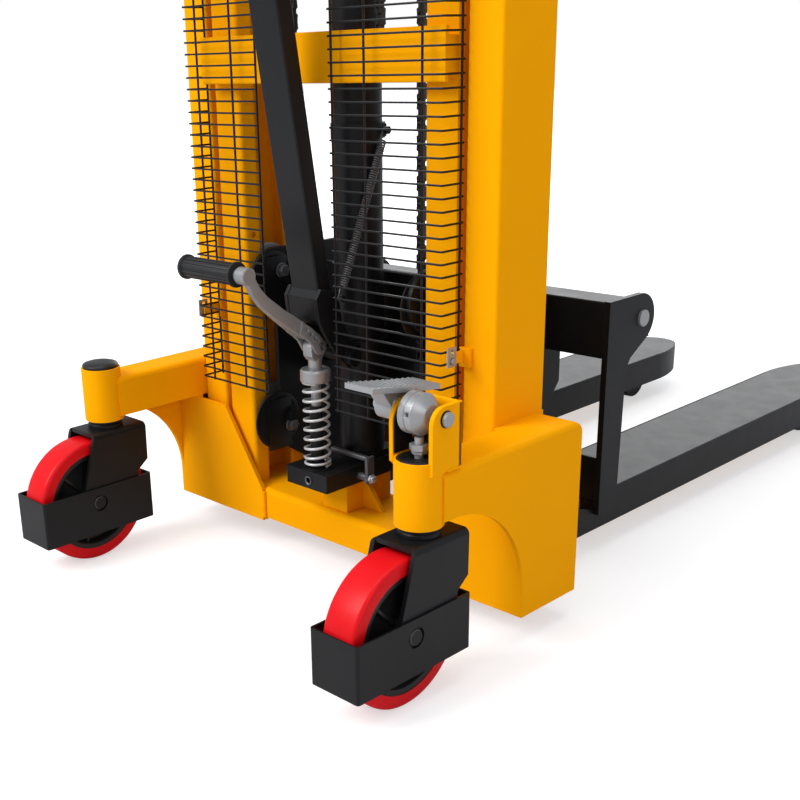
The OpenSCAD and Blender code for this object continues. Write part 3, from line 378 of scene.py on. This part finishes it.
def cut(piece, tool):
    """Takes one solid out of another."""
    modify(piece, "BOOLEAN", operation="DIFFERENCE", solver="EXACT", object=tool)
    bpy.data.objects.remove(tool)
    return piece


def hexagon(across, length, origin, axis="X", chamfer=0.8):
    """Hexagon head or nut with chamfered ends, starting at origin."""
    r = across / math.sqrt(3)
    piece = turned([(r - chamfer, 0), (r, chamfer * 0.6), (r, length - chamfer * 0.6),
                    (r - chamfer, length)], origin, axis, sides=6)
    smooth(piece, 20)
    return piece


def weld(points, radius, step=2.4):
    """Painted weld bead along a path: a swelling ripple every few millimetres."""
    line, swell = [], []
    for a, b in zip(points, points[1:]):
        a, b = Vector(a), Vector(b)
        count = max(2, int((b - a).length / (step / 3)))
        for i in range(count):
            line.append(tuple(a.lerp(b, i / count)))
    line.append(tuple(points[-1]))
    for i in range(len(line)):
        swell.append(1 + 0.16 * math.sin(math.tau * i / 3) + 0.08 * math.sin(i * 0.37))
    return wire(line, radius, 8, swell)


def softened(node, edge, angle=40, segments=2):
    """A cleaned copy of a CAD solid with rounded edges; it stands for the node."""
    piece = copy_of(nodes[node], node + "_shell")
    edit_all(piece)
    bpy.ops.mesh.remove_doubles(threshold=2e-5)
    bpy.ops.mesh.dissolve_limited(angle_limit=math.radians(0.4))
    leave_edit()
    modify(piece, "BEVEL", width=edge * MM, segments=segments, limit_method="ANGLE",
           angle_limit=math.radians(angle), use_clamp_overlap=True, miter_outer="MITER_ARC")
    smooth(piece, 32)
    modify(piece, "WEIGHTED_NORMAL", keep_sharp=True, weight=60)
    return dress(piece, SLOT_OF[node], BODY_OF[node], node)


# solids that keep the drawing's shape, with their edges softened
EDGES = {
    "base_crossbeam": 1.5, "side_frame_r": 1.4, "side_frame_l": 1.4, "caster_tubes": 0.8,
    "leg_r": 1.5, "leg_l": 1.5, "mast_rail_r": 1.0, "mast_rail_l": 1.0, "mast_box_r": 1.0,
    "mast_box_l": 1.0, "mast_top_beam": 2.0, "mast_tie": 1.2, "pump_pedestal": 1.2,
    "pump_block": 0.9, "lift_cylinder": 1.0, "cylinder_clamps": 0.8,
    "tiller_tube": 1.0, "tiller_handle": 1.0, "hand_lever": 1.2, "sheave_r": 0.7,
    "sheave_l": 0.7, "ram_rod": 1.0, "ram_yoke": 1.0, "carriage_frame": 1.0,
    "roller_r1": 1.2, "roller_r2": 1.2,
    "roller_l1": 1.2, "roller_l2": 1.2, "fork_r": 2.2, "fork_l": 2.2, "fork_braces": 1.2,
    "cross_beams": 2.0, "fork_shaft": 1.0, "caster_fork_r": 1.4, "caster_fork_l": 1.4,
    "foot_guard_r": 2.2, "foot_guard_l": 2.2,
    "load_roller_r": 1.5, "load_roller_l": 1.5,
}
for solid, edge_width in EDGES.items():
    softened(solid, edge_width)

# wire guards: one bent level wire repeated up the mast, and the uprights behind it
MESH_Y, MESH_Z, MESH_STEP, MESH_COUNT = 131, 254, 15, 98
FLANGE_Y, BEND = 167.5, 2.5
WIRE, UPRIGHT = 1.4, 1.5


def guard(side, free_edge, uprights, fold):
    bend = [(fold - BEND + BEND * math.sin(a), MESH_Y + BEND - BEND * math.cos(a))
            for a in (math.radians(30 * k) for k in range(4))]
    path = [(free_edge - 2.6, MESH_Y)] + bend + [(fold, FLANGE_Y)]
    level_wire = wire([(side * x, y, MESH_Z) for x, y in path], WIRE, 6)
    modify(level_wire, "ARRAY", count=MESH_COUNT, use_relative_offset=False,
           use_constant_offset=True, constant_offset_displace=(0, 0, MESH_STEP * MM))
    low, high = MESH_Z - 3, MESH_Z + MESH_STEP * (MESH_COUNT - 1) + 3
    places = [(x, MESH_Y + WIRE + UPRIGHT - 0.6) for x in uprights]
    places.append((fold - WIRE - UPRIGHT + 0.6, FLANGE_Y - 2))
    posts = [wire([(side * x, y, low), (side * x, y, high)], UPRIGHT, 8) for x, y in places]
    return join("guard_r" if side > 0 else "guard_l", [level_wire, *posts])


dress(guard(1, 49.3, (49.3, 103.5, 194), 227), "black_paint", "chassis", "mesh_r")
dress(guard(-1, 88.5, (88.5, 137, 208), 230.5), "black_paint", "chassis", "mesh_l")

# guard clips: a zinc plate with its screw, hung from a painted tab on the column
CLIP_LOW, CLIP_STEP = 338, 650
for k in range(3):
    for tag, side in SIDES:
        z = CLIP_LOW + CLIP_STEP * k
        face = plate([(132.5, z + 4), (148.5, z + 4), (148.5, z + 28), (132.5, z + 28)], 2, "YZ",
                     side * 235.4, [(141, z + 22, 2.8)], edge=0.3)
        screw = hexagon(8, side * 3.4, (side * 236.2, 141.5, z + 11), chamfer=0.6)
        dress(join(f"clip_{tag}{k}", [face, screw]), "bare_steel", "chassis",
              *(["mesh_clips"] if k == 0 and side > 0 else []))
        low, high = sorted((side * 226.5, side * 243.5))
        tab = block((low, 164.5, z - 1), (high, 170.4, z + 23), 0.8)
        low, high = sorted((side * 231.6, side * 234.4))
        arm = block((low, 140, z + 6), (high, 166, z + 20), 0.5)
        dress(join(f"clip_tab_{tag}{k}", [tab, arm]), "yellow_paint", "chassis")

# plunger spring: open coils between close end turns
PLUNGER_Y, SPRING_LOW, SPRING_HIGH = 140, 165.2, 283.9
COIL_R, COIL_WIRE, TURNS, CLOSE_LOW, CLOSE_HIGH, CLOSE_PITCH = 17.1, 2.0, 9.9, 1.3, 0.35, 4.4


def coil_height(turn):
    """Height of the wire after a number of turns, close at both ends."""
    closed = CLOSE_LOW + CLOSE_HIGH
    opened = (SPRING_HIGH - SPRING_LOW - closed * CLOSE_PITCH) / (TURNS - closed)
    if turn < CLOSE_LOW:
        return SPRING_LOW + turn * CLOSE_PITCH
    if turn > TURNS - CLOSE_HIGH:
        return SPRING_HIGH - (TURNS - turn) * CLOSE_PITCH
    return SPRING_LOW + CLOSE_LOW * CLOSE_PITCH + (turn - CLOSE_LOW) * opened


coil = []
for i in range(int(TURNS * 24) + 1):
    a = math.tau * i / 24
    coil.append((COIL_R * math.cos(a), PLUNGER_Y + COIL_R * math.sin(a), coil_height(i / 24)))
spring = wire(coil, COIL_WIRE, 10)
spring.name = "plunger_coil"
spring.data.materials.append(FINISH["spring_wire"])
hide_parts("plunger_spring")
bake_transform(spring)

# long spring beside the cylinder, with a hook at each end
HOOK_X = 38.5
HOOK_LOW, HOOK_HIGH = Vector((HOOK_X, 151.7, 399.9)), Vector((HOOK_X, 240, 604))
LONG_R, LONG_WIRE, LONG_TURNS, HOOK_REACH = 4.7, 1.05, 66, 14
along = (HOOK_HIGH - HOOK_LOW).normalized()
sideways = Vector((1, 0, 0))
outwards = sideways.cross(along)
span = (HOOK_HIGH - HOOK_LOW).length
line = []
for k in range(10):
    a = math.radians(-250 + 25 * k)
    line.append(HOOK_LOW + 4 * (math.cos(a) * outwards + math.sin(a) * along))
for i in range(LONG_TURNS * 10 + 1):
    a = math.pi / 2 + math.tau * i / 10
    rise = HOOK_REACH + (span - 2 * HOOK_REACH) * i / (LONG_TURNS * 10)
    line.append(HOOK_LOW + rise * along
                + LONG_R * (math.cos(a) * sideways + math.sin(a) * outwards))
for k in range(11):
    a = math.radians(25 * k)
    line.append(HOOK_HIGH + 4 * (math.cos(a) * outwards + math.sin(a) * along))
long_spring = wire([tuple(q) for q in line], LONG_WIRE, 6)
long_spring.name = "tiller_coil"
long_spring.data.materials.append(FINISH["dark_steel"])
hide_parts("tiller_spring")
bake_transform(long_spring)

# lift chains: leaf chain of alternate plates on pins
CHAIN_X, CYL_Y, CHAIN_R, PITCH = 77, 229, 38, 12.7
SHEAVE_Z, CHAIN_LOW, TIE_Z = 1095, 296, 715


def link_plate(x, thickness, base):
    """Waisted plate between two pins, standing on base."""
    y, z = base
    r = 4.6
    outline = [(y + r * math.sin(math.radians(a)), z - r * math.cos(math.radians(a)))
               for a in (-60, 0, 60)] + [(y + 3.1, z + PITCH / 2)]
    outline += [(y - r * math.sin(math.radians(a)), z + PITCH + r * math.cos(math.radians(a)))
                for a in (-60, 0, 60)] + [(y - 3.1, z + PITCH / 2)]
    return plate(outline, thickness, "YZ", x, edge=0.2, soft=0)


def chain(side, y, low, high, name):
    centre = side * CHAIN_X
    unit = [link_plate(centre + dx, 1.7, (y, low + 5)) for dx in (-5.0, 1.25, 3.1)]
    unit += [link_plate(centre + dx, 1.7, (y, low + 5 + PITCH)) for dx in (-3.1, -1.2, 5.0)]
    for k in (0, 1):
        unit.append(turned([(1.9, -6.2), (1.9, 6.2)], (centre, y, low + 5 + k * PITCH), sides=8))
    strand = join(name, unit)
    modify(strand, "ARRAY", count=int((high - low) / (2 * PITCH)), use_relative_offset=False,
           use_constant_offset=True, constant_offset_displace=(0, 0, 2 * PITCH * MM))
    return strand


for tail, y, low, other, base in (("front", CYL_Y + CHAIN_R, CHAIN_LOW, "carriage", "ram"),
                                  ("back", CYL_Y - CHAIN_R, TIE_Z, "chassis", "ram")):
    pair = join("links_" + tail, [chain(s, y, low, SHEAVE_Z, "strand") for _, s in SIDES])
    pair.data.materials.clear()
    pair.data.materials.append(FINISH["chain_steel"])
    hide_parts("chain_" + tail)
    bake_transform(pair)
over = []
for _, s in SIDES:
    for k in range(10):
        a = math.radians(9 + 18 * k)
        for dx in ((-5.0, 1.25, 3.1) if k % 2 else (-3.1, -1.2, 5.0)):
            seat = (0, CYL_Y + CHAIN_R * math.cos(a), SHEAVE_Z + CHAIN_R * math.sin(a))
            over.append(swung(link_plate(s * CHAIN_X + dx, 1.7, (0, 0)),
                              (0, 0, PITCH / 2), a, seat))
dress(join("links_top", over), "chain_steel", "ram", "chain_top")

# wheels: a moulded tyre with eased shoulders on a dished black centre
AXLE_Y, WHEEL_R, SWIVEL_X = -45, 90, 307.5
SHOULDER = [(73, -24), (84.5, -24), (87.6, -23), (89.5, -21), (90, -18), (90, 18), (89.5, 21),
            (87.6, 23), (84.5, 24), (73, 24), (73, -24)]
DISH = [(8.6, 24), (19, 24), (20.5, 23), (21.5, 14), (25, 12), (58, 9), (62, 11), (64.5, 20),
        (66, 22.6), (68, 23.4), (73, 23.4)]
for tag, side in SIDES:
    origin = (side * SWIVEL_X, AXLE_Y, WHEEL_R)
    dress(turned(SHOULDER, origin, sides=112, hollow=True), "red_tyre", "wheel_" + tag,
          "tyre_" + tag).name = "tyre_moulding_" + tag
    rings = DISH + [(r, -d) for r, d in reversed(DISH)] + [DISH[0]]
    hub = turned(rings, origin, sides=72, hollow=True)
    ribs = []
    for k in range(6):
        rib = block((side * SWIVEL_X - 19, AXLE_Y + 20, WHEEL_R - 2.2),
                    (side * SWIVEL_X + 19, AXLE_Y + 64, WHEEL_R + 2.2), 1.4)
        ribs.append(swung(rib, origin, math.radians(60 * k + 15)))
    dress(join("wheel_centre_" + tag, [hub, *ribs]), "black_plastic", "wheel_" + tag,
          "wheel_hub_" + tag)
    for end in (-1, 1):
        face = side * SWIVEL_X + end * 34
        head = turned([(8.9, 0), (8.9, end * 2.6), (8.0, end * 3.0)],
                      (face, AXLE_Y, WHEEL_R), sides=28)
        dress(head, "bare_steel", "caster_" + tag).name = f"axle_end_{tag}{end + 1}"
    # ball race between the caster tube and the fork
    race = turned([(24.5, 191.8), (25.2, 192.6), (25.2, 197), (23.8, 198.5), (25, 200),
                   (25, 202.6)], (side * SWIVEL_X, 0, 0), "Z", 48, hollow=True)
    dress(race, "black_paint", "caster_" + tag).name = "race_" + tag
    # domed cap in the top of the tube
    dome = [(25.3, 276), (25.3, 282), (26.2, 282.4), (26.2, 284.6), (24.5, 286.6), (19, 288.4),
            (10, 289.4), (4, 289.6)]
    if side > 0:
        dome = [(7.6, 281.2), (8.6, 281.8), (22.6, 281.8), (24, 281), (24.6, 279.6), (25.4, 279)]
    cap = turned(dome, (side * SWIVEL_X, 0, 0), "Z", 48, hollow=side > 0)
    cap.name = "tube_cap_" + tag
    dress(cap, "black_plastic", "chassis", *(["tube_caps"] if side < 0 else []))

# foot lever: a forged bar that runs up from two ears on the rocker to the grip bar
GRIP_AXIS, GRIP_RIBS = (0, 20, 444), 14
LEVER_PIN = (0, 138, 333.5)
LEVER = ((121.5, 351.8, 7.6, -11.4, 11.6), (117.1, 355.6, 9, -12, 12.2),
         (103, 365.5, 9, -9, 12.2), (88, 375.5, 9, -5.5, 12.2), (72, 386.5, 8.5, -1.5, 12.2),
         (57, 398, 8.5, 1, 12.2), (44, 408.5, 8.2, 3, 12.2), (33, 421, 7.8, 3.5, 12.2),
         (27, 432, 7.2, 2, 12.2), (21.5, 442, 6.6, -5, 12.2))
sections = []
for i, (y, z, half, x0, x1) in enumerate(LEVER):
    before, after = LEVER[max(0, i - 1)], LEVER[min(len(LEVER) - 1, i + 1)]
    heading = math.degrees(math.atan2(after[1] - before[1], after[0] - before[0]))
    sections.append((y, z, heading, half, x0, x1))
lever = [lofted(sections, 1.6)]
for x in (11.6, -12):
    ear = [(105.8, 372.4), (123, 361.6), (137, 350.2), (145.5, 340.6)]
    ear += arc(*LEVER_PIN[1:], 11.2, 30, -140, 12) + [(121, 340.8), (111, 349.4), (101.5, 356.4)]
    holes = [(113.6, 360.6, 3), (120.6, 353.3, 2.2), (128.6, 347.1, 1.9), (133.1, 342.6, 1.4)]
    lever.append(plate(ear, 4.6, "YZ", x, holes if x > 0 else (), 1.0, 2))
lever.append(turned([(10, -5.6), (11, -4.6), (11, 11.6), (10, 12.6)], (0, 20.4, 443.6),
                    sides=40))
lever.append(turned([(8, -4), (8, -9.8)], GRIP_AXIS))
dress(join("lever_forging", lever), "cast_alu", "rocker", "foot_lever")
pin = cut(turned([(5.2, 13.6), (5.2, 16.2), (4.6, 17)], LEVER_PIN),
          hexagon(4.6, 6, (15, *LEVER_PIN[1:]), chamfer=0.1))
far = turned([(5.2, -14.2), (5.2, -16.4), (4.4, -17)], LEVER_PIN)
dress(join("lever_pin_heads", [pin, far]), "dark_steel", "rocker")

# foot grip: moulded sleeve with end flanges and ribs along it
rings = [(9.4, -9.6), (15.6, -9.6), (16.2, -10.4), (16.2, -13), (15.2, -13.8), (13, -15.2),
         (13, -106.4), (15.2, -107.6), (16.2, -108.6), (16.2, -111.4), (15.2, -112.8),
         (9.4, -112.8)]
sleeve = [turned(rings, GRIP_AXIS, sides=40)]
for k in range(GRIP_RIBS):
    rib = block((-106, 18.4, 456), (-14.6, 21.6, 458.2), 0.6)
    sleeve.append(swung(rib, GRIP_AXIS, math.tau * k / GRIP_RIBS))
sleeve = join("grip_sleeve", sleeve)
dress(sleeve, "grip_rubber", "rocker", "foot_grip").name = "grip_sleeve"

# rocker: two cheeks cut back to clear the lever's ears, with a plate across their front
ROCKER_Y, ROCKER_Z = 178, 314
SPRING_PIN = (0, 151.7, 399.9)
cheek = arc(ROCKER_Y, ROCKER_Z, 14, -150, 15, 10) + [(162, 366), (156, 406), (124.5, 414),
                                                     (116, 402), (120, 374), (126, 360),
                                                     (138, 341), (152, 321)]
shell = [plate(cheek, 6, "YZ", side * 28, [(ROCKER_Y, ROCKER_Z, 8.4)], 0.8) for _, side in SIDES]
shell.append(plate([(125.5, 412.5), (117.3, 402), (120.8, 372), (126.6, 371), (124, 401),
                    (128, 410)], 61, "YZ", 0, edge=0.8))
for _, side in SIDES:
    shell.append(turned([(8.4, side * 30), (14, side * 30), (14, side * 31.6), (13, side * 32.2),
                         (8.4, side * 32.2), (8.4, side * 30)], (0, ROCKER_Y, ROCKER_Z),
                        sides=36, hollow=True))
shell.append(turned([(3, 26), (3, 44.5)], SPRING_PIN, sides=20))
shell.append(turned([(5, 43.5), (5, 45), (4.2, 45.5)], SPRING_PIN, sides=24))
dress(join("rocker_shell", shell), "black_paint", "rocker", "rocker")

# plunger: rod, round cap with a dished top, and the slotted eye that takes the link
rod = turned([(6.9, 197), (6.9, 285)], (0, PLUNGER_Y, 0), "Z", 36)
cap = turned([(12, 284), (19.4, 284), (20.8, 285.2), (20.8, 299.4), (19, 301.4), (16.6, 301.4),
              (15.4, 300.2), (8.6, 300.2)], (0, PLUNGER_Y, 0), "Z", 56)
eye = [(131.5, 314), (126.6, 320.5), (125.8, 327)] + arc(138.2, 331, 12.8, 165, 15, 12)
eye += [(150.6, 327), (149.4, 320.5), (145, 314)]
slit = arc(140, 331, 6.3, -90, 90, 8) + arc(136.3, 331, 6.3, 90, 270, 8)
eye = plate(eye, 17.2, "YZ", 0, [slit], 0.8, 2)
neck = turned([(9.4, 299), (9.4, 316), (8.6, 317)], (0, PLUNGER_Y, 0), "Z", 32)
dress(join("plunger_rod", [rod, cap, eye, neck]), "bare_steel", "plunger", "pump_plunger")

# ring round the bore in the front face of the pump block
ring = turned([(4.2, 116.9), (5.2, 116.9), (6.2, 116.2), (6.2, 115.6)], (4.5, 0, 148), "Y",
              hollow=True)
modify(ring, "SOLIDIFY", thickness=0.5 * MM)
dress(ring, "dark_steel", "chassis").name = "bore_ring"

# release lever: folded strip with a domed nut at its pivot
RELEASE_PIVOT = (0, 180, 147)
strip = block((-10, 174.5, 172.6), (63, 181.6, 178.8), 1.6, 3)
drop = plate([(173, 178.5), (173, 150)] + arc(179, 147, 8.6, 200, 340, 10) + [(187.6, 178.5)], 5,
             "YZ", 60, edge=1.0)
stem = turned([(5, 31), (5, 58)], RELEASE_PIVOT)
dress(join("release_strip", [strip, drop, stem]), "dark_steel", "release_lever",
      "release_lever")
nut = hexagon(12, 4.2, (62.4, *RELEASE_PIVOT[1:]))
dome = turned([(5.2, 66.4), (5.0, 67.6), (4.0, 69.2), (2.2, 70.2), (0.6, 70.4)], RELEASE_PIVOT)
dress(join("release_nut", [nut, dome]), "bare_steel", "release_lever")

# carriage side plates: roller discs, bracket blocks and bolts on their inner faces
for tag, side in SIDES:
    for k, (z, bolt_y, bolt_z) in enumerate(((187, 219, 176), (395, 211, 409))):
        disc = turned([(43, side * 143.4), (43, side * 141.6), (41.4, side * 140.8),
                       (36.5, side * 140.8), (35.5, side * 141.6), (12, side * 141.6)],
                      (0, 196, z), sides=72)
        dress(disc, "black_paint", "carriage").name = f"roller_disc_{tag}{k}"
        washer = turned([(10.5, side * 139.8), (10.5, side * 137.6), (9.8, side * 137)],
                        (0, bolt_y, bolt_z))
        head = hexagon(15, -side * 7, (side * 137, bolt_y, bolt_z))
        dress(join(f"plate_bolt_{tag}{k}", [washer, head]), "dark_steel", "carriage")
    low, high = sorted((side * 143.4, side * 139.6))
    pad = block((low, 176, 142), (high, 222, 220), 1.2)
    cap_pad = block((low, 176, 360), (high, 222, 430), 1.2)
    dress(join("bracket_pad_" + tag, [pad, cap_pad]), "black_paint", "carriage")
    low, high = sorted((side * 143.2, side * 139.4))
    strip = block((low, 224, 317), (high, 272, 333), 0.8)
    dress(strip, "spring_wire", "carriage").name = "slide_strip_" + tag

# brake: drum with a cone face, and a chequered pedal in two folded halves
BRAKE_Y, BRAKE_Z, CAM_Y, CAM_Z = 10, 328, 4.2, 329.6
drum = [(7, 291.6), (22.6, 291.6), (23.8, 292.8), (23.8, 300.4), (22.8, 301), (22.8, 302),
        (23.8, 302.6), (23.8, 311), (13, 321.6), (12, 322), (7, 322)]
drum = turned(drum, (0, CAM_Y, CAM_Z), sides=64)
drum = cut(drum, turned([(3.1, -30), (3.1, -15)], (305.6, CAM_Y, CAM_Z + 3.5), "Y", 20))
shaft = turned([(7, 236), (7, 338.4), (6, 339)], (0, BRAKE_Y, BRAKE_Z))
hub = turned([(13.6, 244), (15, 245.4), (15, 271), (13.6, 272.6)], (0, BRAKE_Y, BRAKE_Z),
             sides=48)
web = plate([(-4, 331), (24, 331), (30, 348), (-20, 355), (-16, 348)], 24, "YZ", 259, edge=1.2)
dress(join("brake_cam", [drum, shaft, hub, web]), "bare_steel", "brake_pedal")
treads = []
for (y0, z0), (y1, z1), rows in (((-49, 364.8), (20, 353.2), 7), ((20, 353.2), (62, 347.4), 4)):
    outline = [(y0, z0 - 6.4), (y1, z1 - 6.4), (y1, z1), (y0, z0)]
    treads.append(plate(outline, 42, "YZ", 264, edge=0.8, soft=2))
    length = math.hypot(y1 - y0, z1 - z0)
    ahead_y, ahead_z = (y1 - y0) / length, (z1 - z0) / length
    pair = []
    for i in (0, 1):
        d = 3.4 + 4.6 * i
        stud = turned([(1.8, -0.3), (1.2, 1.2)], (246.4 + 2.3 * i, y0 + d * ahead_y,
                                                  z0 + d * ahead_z), "Z", 6)
        modify(stud, "ARRAY", count=8, use_relative_offset=False, use_constant_offset=True,
               constant_offset_displace=(4.6 * MM, 0, 0))
        pair.append(stud)
    studs = join("studs", pair)
    modify(studs, "ARRAY", count=rows, use_relative_offset=False, use_constant_offset=True,
           constant_offset_displace=(0, 9.2 * ahead_y * MM, 9.2 * ahead_z * MM))
    treads.append(studs)
dress(join("brake_tread", treads), "bare_steel", "brake_pedal", "brake_pedal")

# brake rod with two thin nuts under the drum
rod = turned([(5.2, 262), (5.2, 304.6), (4.2, 305.2)], (307.5, 0, 0), "Z", 28)
nuts = [hexagon(19, 7.2, (307.5, 0, 289.9), "Z"), hexagon(15.5, 3.9, (307.5, 0, 285.6), "Z")]
dress(join("push_rod", [rod, *nuts]), "bare_steel", "brake_rod", "brake_rod")

# bracket: two ears on a back plate, the inner ear arched and lined with black
SHAFT_HOLE = (BRAKE_Y, BRAKE_Z, 7.7)
inner = [(37, 284), (37, 343)] + arc(14, 317, 26, 90, 180, 10)
inner += [(-12, 273), (-6, 267), (31, 267)]
outer = [(37, 267), (37, 343)] + arc(8, 323, 20, 90, 180, 8) + [(-12, 267)]
ears = [plate(inner, 5.6, "YZ", 276.4, [SHAFT_HOLE], 0.9),
        plate(outer, 6, "YZ", 334, [SHAFT_HOLE], 0.9)]
ears.append(block((273.6, 31, 267), (337, 37, 343), 1.0))
dress(join("brake_ears", ears), "yellow_paint", "chassis", "brake_bracket")
end = turned([(7.2, 335), (7.2, 338), (7.9, 338), (8.6, 338.6), (8.6, 341), (7.4, 342)],
             (0, BRAKE_Y, BRAKE_Z), sides=40)
dress(end, "bare_steel", "brake_pedal").name = "shaft_end"
# painted shadow: a thin black ring behind the shaft's end head stands in for the shade in the
# bore around the head
ring = turned([(7.8, 336.9), (9.8, 336.9), (9.8, 337.6), (7.8, 337.6), (7.8, 336.9)],
              (0, BRAKE_Y, BRAKE_Z), sides=40, hollow=True)
dress(ring, "black_plastic", "chassis").name = "painted_bore_shadow_ring"
liner = [plate([(-10.5, 282), (31, 282), (31, 340)] + arc(13.5, 316, 24, 90, 180, 10), 1.4,
               "YZ", 280, [(22, 296, 3), (BRAKE_Y, BRAKE_Z, 7.8)], 0.3)]
liner.append(plate([(280, 282), (330.8, 282), (330.8, 326), (280, 326)], 1.2, "XZ", 30.2,
                   edge=0.3))
dress(join("bracket_liner", liner), "black_plastic", "chassis")

# rolled beads along the upper outer edges of the forks
for tag, side in SIDES:
    for edge in (114.6, 243.4):
        bead = wire([(side * edge, y, 91.2) for y in (482, 860, 1228)], 1.5, 10)
        dress(bead, "black_paint", "carriage").name = f"fork_bead_{tag}{int(edge)}"

# weld beads where the crossbeam meets the side frames and where the arms meet the tubes
for tag, side in SIDES:
    beads = [weld([(side * 138.4, 158.6, 43), (side * 138.4, 158.6, 84)], 2.7)]
    beads.append(weld([(side * 284.6, 16.4, 213), (side * 284.6, 16.4, 258)], 1.8))
    beads.append(weld([(side * 333, 12.4, 213), (side * 333, 12.4, 258)], 1.8))
    dress(join("weld_" + tag, beads), "yellow_paint", "chassis")
beads = [weld([(273.6, y, 268) for y in (2, 31)], 1.4),
         weld([(337, y, 268) for y in (12, 36)], 1.4)]
dress(join("weld_bracket", beads), "yellow_paint", "chassis")

# stage

CAMERA_PLACE = (1109.7, -918.0, 701.9)
CAMERA_YAW, CAMERA_TILT, CAMERA_ROLL = -0.8316, -0.3481, -0.0361
FOCAL_PIXELS, FRAME_PIXELS = 1171.2, 800
CENTRE_PIXEL = (293.8, 477.8)

camera = bpy.data.objects.new("camera", bpy.data.cameras.new("camera"))
bpy.context.scene.collection.objects.link(camera)
bpy.context.scene.camera = camera
ahead = Vector((math.sin(CAMERA_YAW) * math.cos(CAMERA_TILT),
                math.cos(CAMERA_YAW) * math.cos(CAMERA_TILT), math.sin(CAMERA_TILT)))
level = Vector((math.cos(CAMERA_YAW), -math.sin(CAMERA_YAW), 0))
upright = level.cross(ahead)
right = math.cos(CAMERA_ROLL) * level + math.sin(CAMERA_ROLL) * upright
up = -math.sin(CAMERA_ROLL) * level + math.cos(CAMERA_ROLL) * upright
camera.matrix_world = Matrix.Translation(at(*CAMERA_PLACE)) @ Matrix(
    (right, up, -ahead)).transposed().to_4x4()
camera.data.sensor_width = 36
camera.data.lens = FOCAL_PIXELS / FRAME_PIXELS * 36
camera.data.shift_x = (FRAME_PIXELS / 2 - CENTRE_PIXEL[0]) / FRAME_PIXELS
camera.data.shift_y = (CENTRE_PIXEL[1] - FRAME_PIXELS / 2) / FRAME_PIXELS

bpy.context.scene.view_settings.view_transform = "Standard"


def seen_rays(tree):
    """1 where the camera looks at the surface, straight or through glass or a lens."""
    rays = tree.nodes.new("ShaderNodeLightPath")
    either = tree.nodes.new("ShaderNodeMath")
    either.operation = "MAXIMUM"
    tree.links.new(rays.outputs["Is Camera Ray"], either.inputs[0])
    tree.links.new(rays.outputs["Is Transmission Ray"], either.inputs[1])
    return either.outputs["Value"]


world = bpy.data.worlds.new("studio")
bpy.context.scene.world = world
world.use_nodes = True
tree = world.node_tree
sky = tree.nodes["Background"]
sky.inputs["Color"].default_value = (0.86, 0.88, 0.92, 1)
sky.inputs["Strength"].default_value = 0.62
white = tree.nodes.new("ShaderNodeBackground")
white.inputs["Color"].default_value = (1, 1, 1, 1)
choose = tree.nodes.new("ShaderNodeMixShader")
tree.links.new(seen_rays(tree), choose.inputs["Fac"])
tree.links.new(sky.outputs["Background"], choose.inputs[1])
tree.links.new(white.outputs["Background"], choose.inputs[2])
tree.links.new(choose.outputs["Shader"], tree.nodes["World Output"].inputs["Surface"])

bpy.ops.mesh.primitive_plane_add(size=30, location=(0, 0, -0.0005))
floor = bpy.context.object
floor.name = "floor"
material, tree, shader = new_material("floor_white")
shader.inputs["Base Color"].default_value = (0.62, 0.62, 0.63, 1)
shader.inputs["Roughness"].default_value = 0.8
shader.inputs["Specular IOR Level"].default_value = 0.1
shader.inputs["Emission Color"].default_value = (1, 1, 1, 1)
place = tree.nodes.new("ShaderNodeTexCoord")
reach = tree.nodes.new("ShaderNodeVectorMath")
reach.operation = "LENGTH"
tree.links.new(place.outputs["Object"], reach.inputs[0])
fade = tree.nodes.new("ShaderNodeMapRange")
fade.inputs["From Min"].default_value = 0.9
fade.inputs["From Max"].default_value = 3.2
fade.inputs["To Min"].default_value = 0.52
fade.inputs["To Max"].default_value = 1.2
tree.links.new(reach.outputs["Value"], fade.inputs["Value"])
lift = tree.nodes.new("ShaderNodeMath")
lift.operation = "MULTIPLY"
tree.links.new(fade.outputs["Result"], lift.inputs[1])
tree.links.new(seen_rays(tree), lift.inputs[0])
tree.links.new(lift.outputs["Value"], shader.inputs["Emission Strength"])
floor.data.materials.append(material)
floor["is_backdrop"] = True


def soft_light(name, place, aim, size, power):
    lamp = bpy.data.lights.new(name, "AREA")
    lamp.shape, lamp.size, lamp.size_y, lamp.energy = "RECTANGLE", size[0], size[1], power
    holder = bpy.data.objects.new(name, lamp)
    bpy.context.scene.collection.objects.link(holder)
    holder.location = place
    holder.rotation_euler = (Vector(aim) - Vector(place)).to_track_quat("-Z", "Y").to_euler()


soft_light("key", (-1.6, -4.2, 3.6), (0, 0, 0.4), (2.6, 2.6), 210)
soft_light("fill", (4.6, -1.8, 2.6), (0, 0, 0.4), (2.4, 2.8), 36)
soft_light("back", (-2.2, 4.2, 1.8), (0.1, 0.2, 0.1), (4.2, 2.2), 62)
soft_light("top", (0.2, -0.6, 4.6), (0, 0, 0), (3, 3), 70)

low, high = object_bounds()
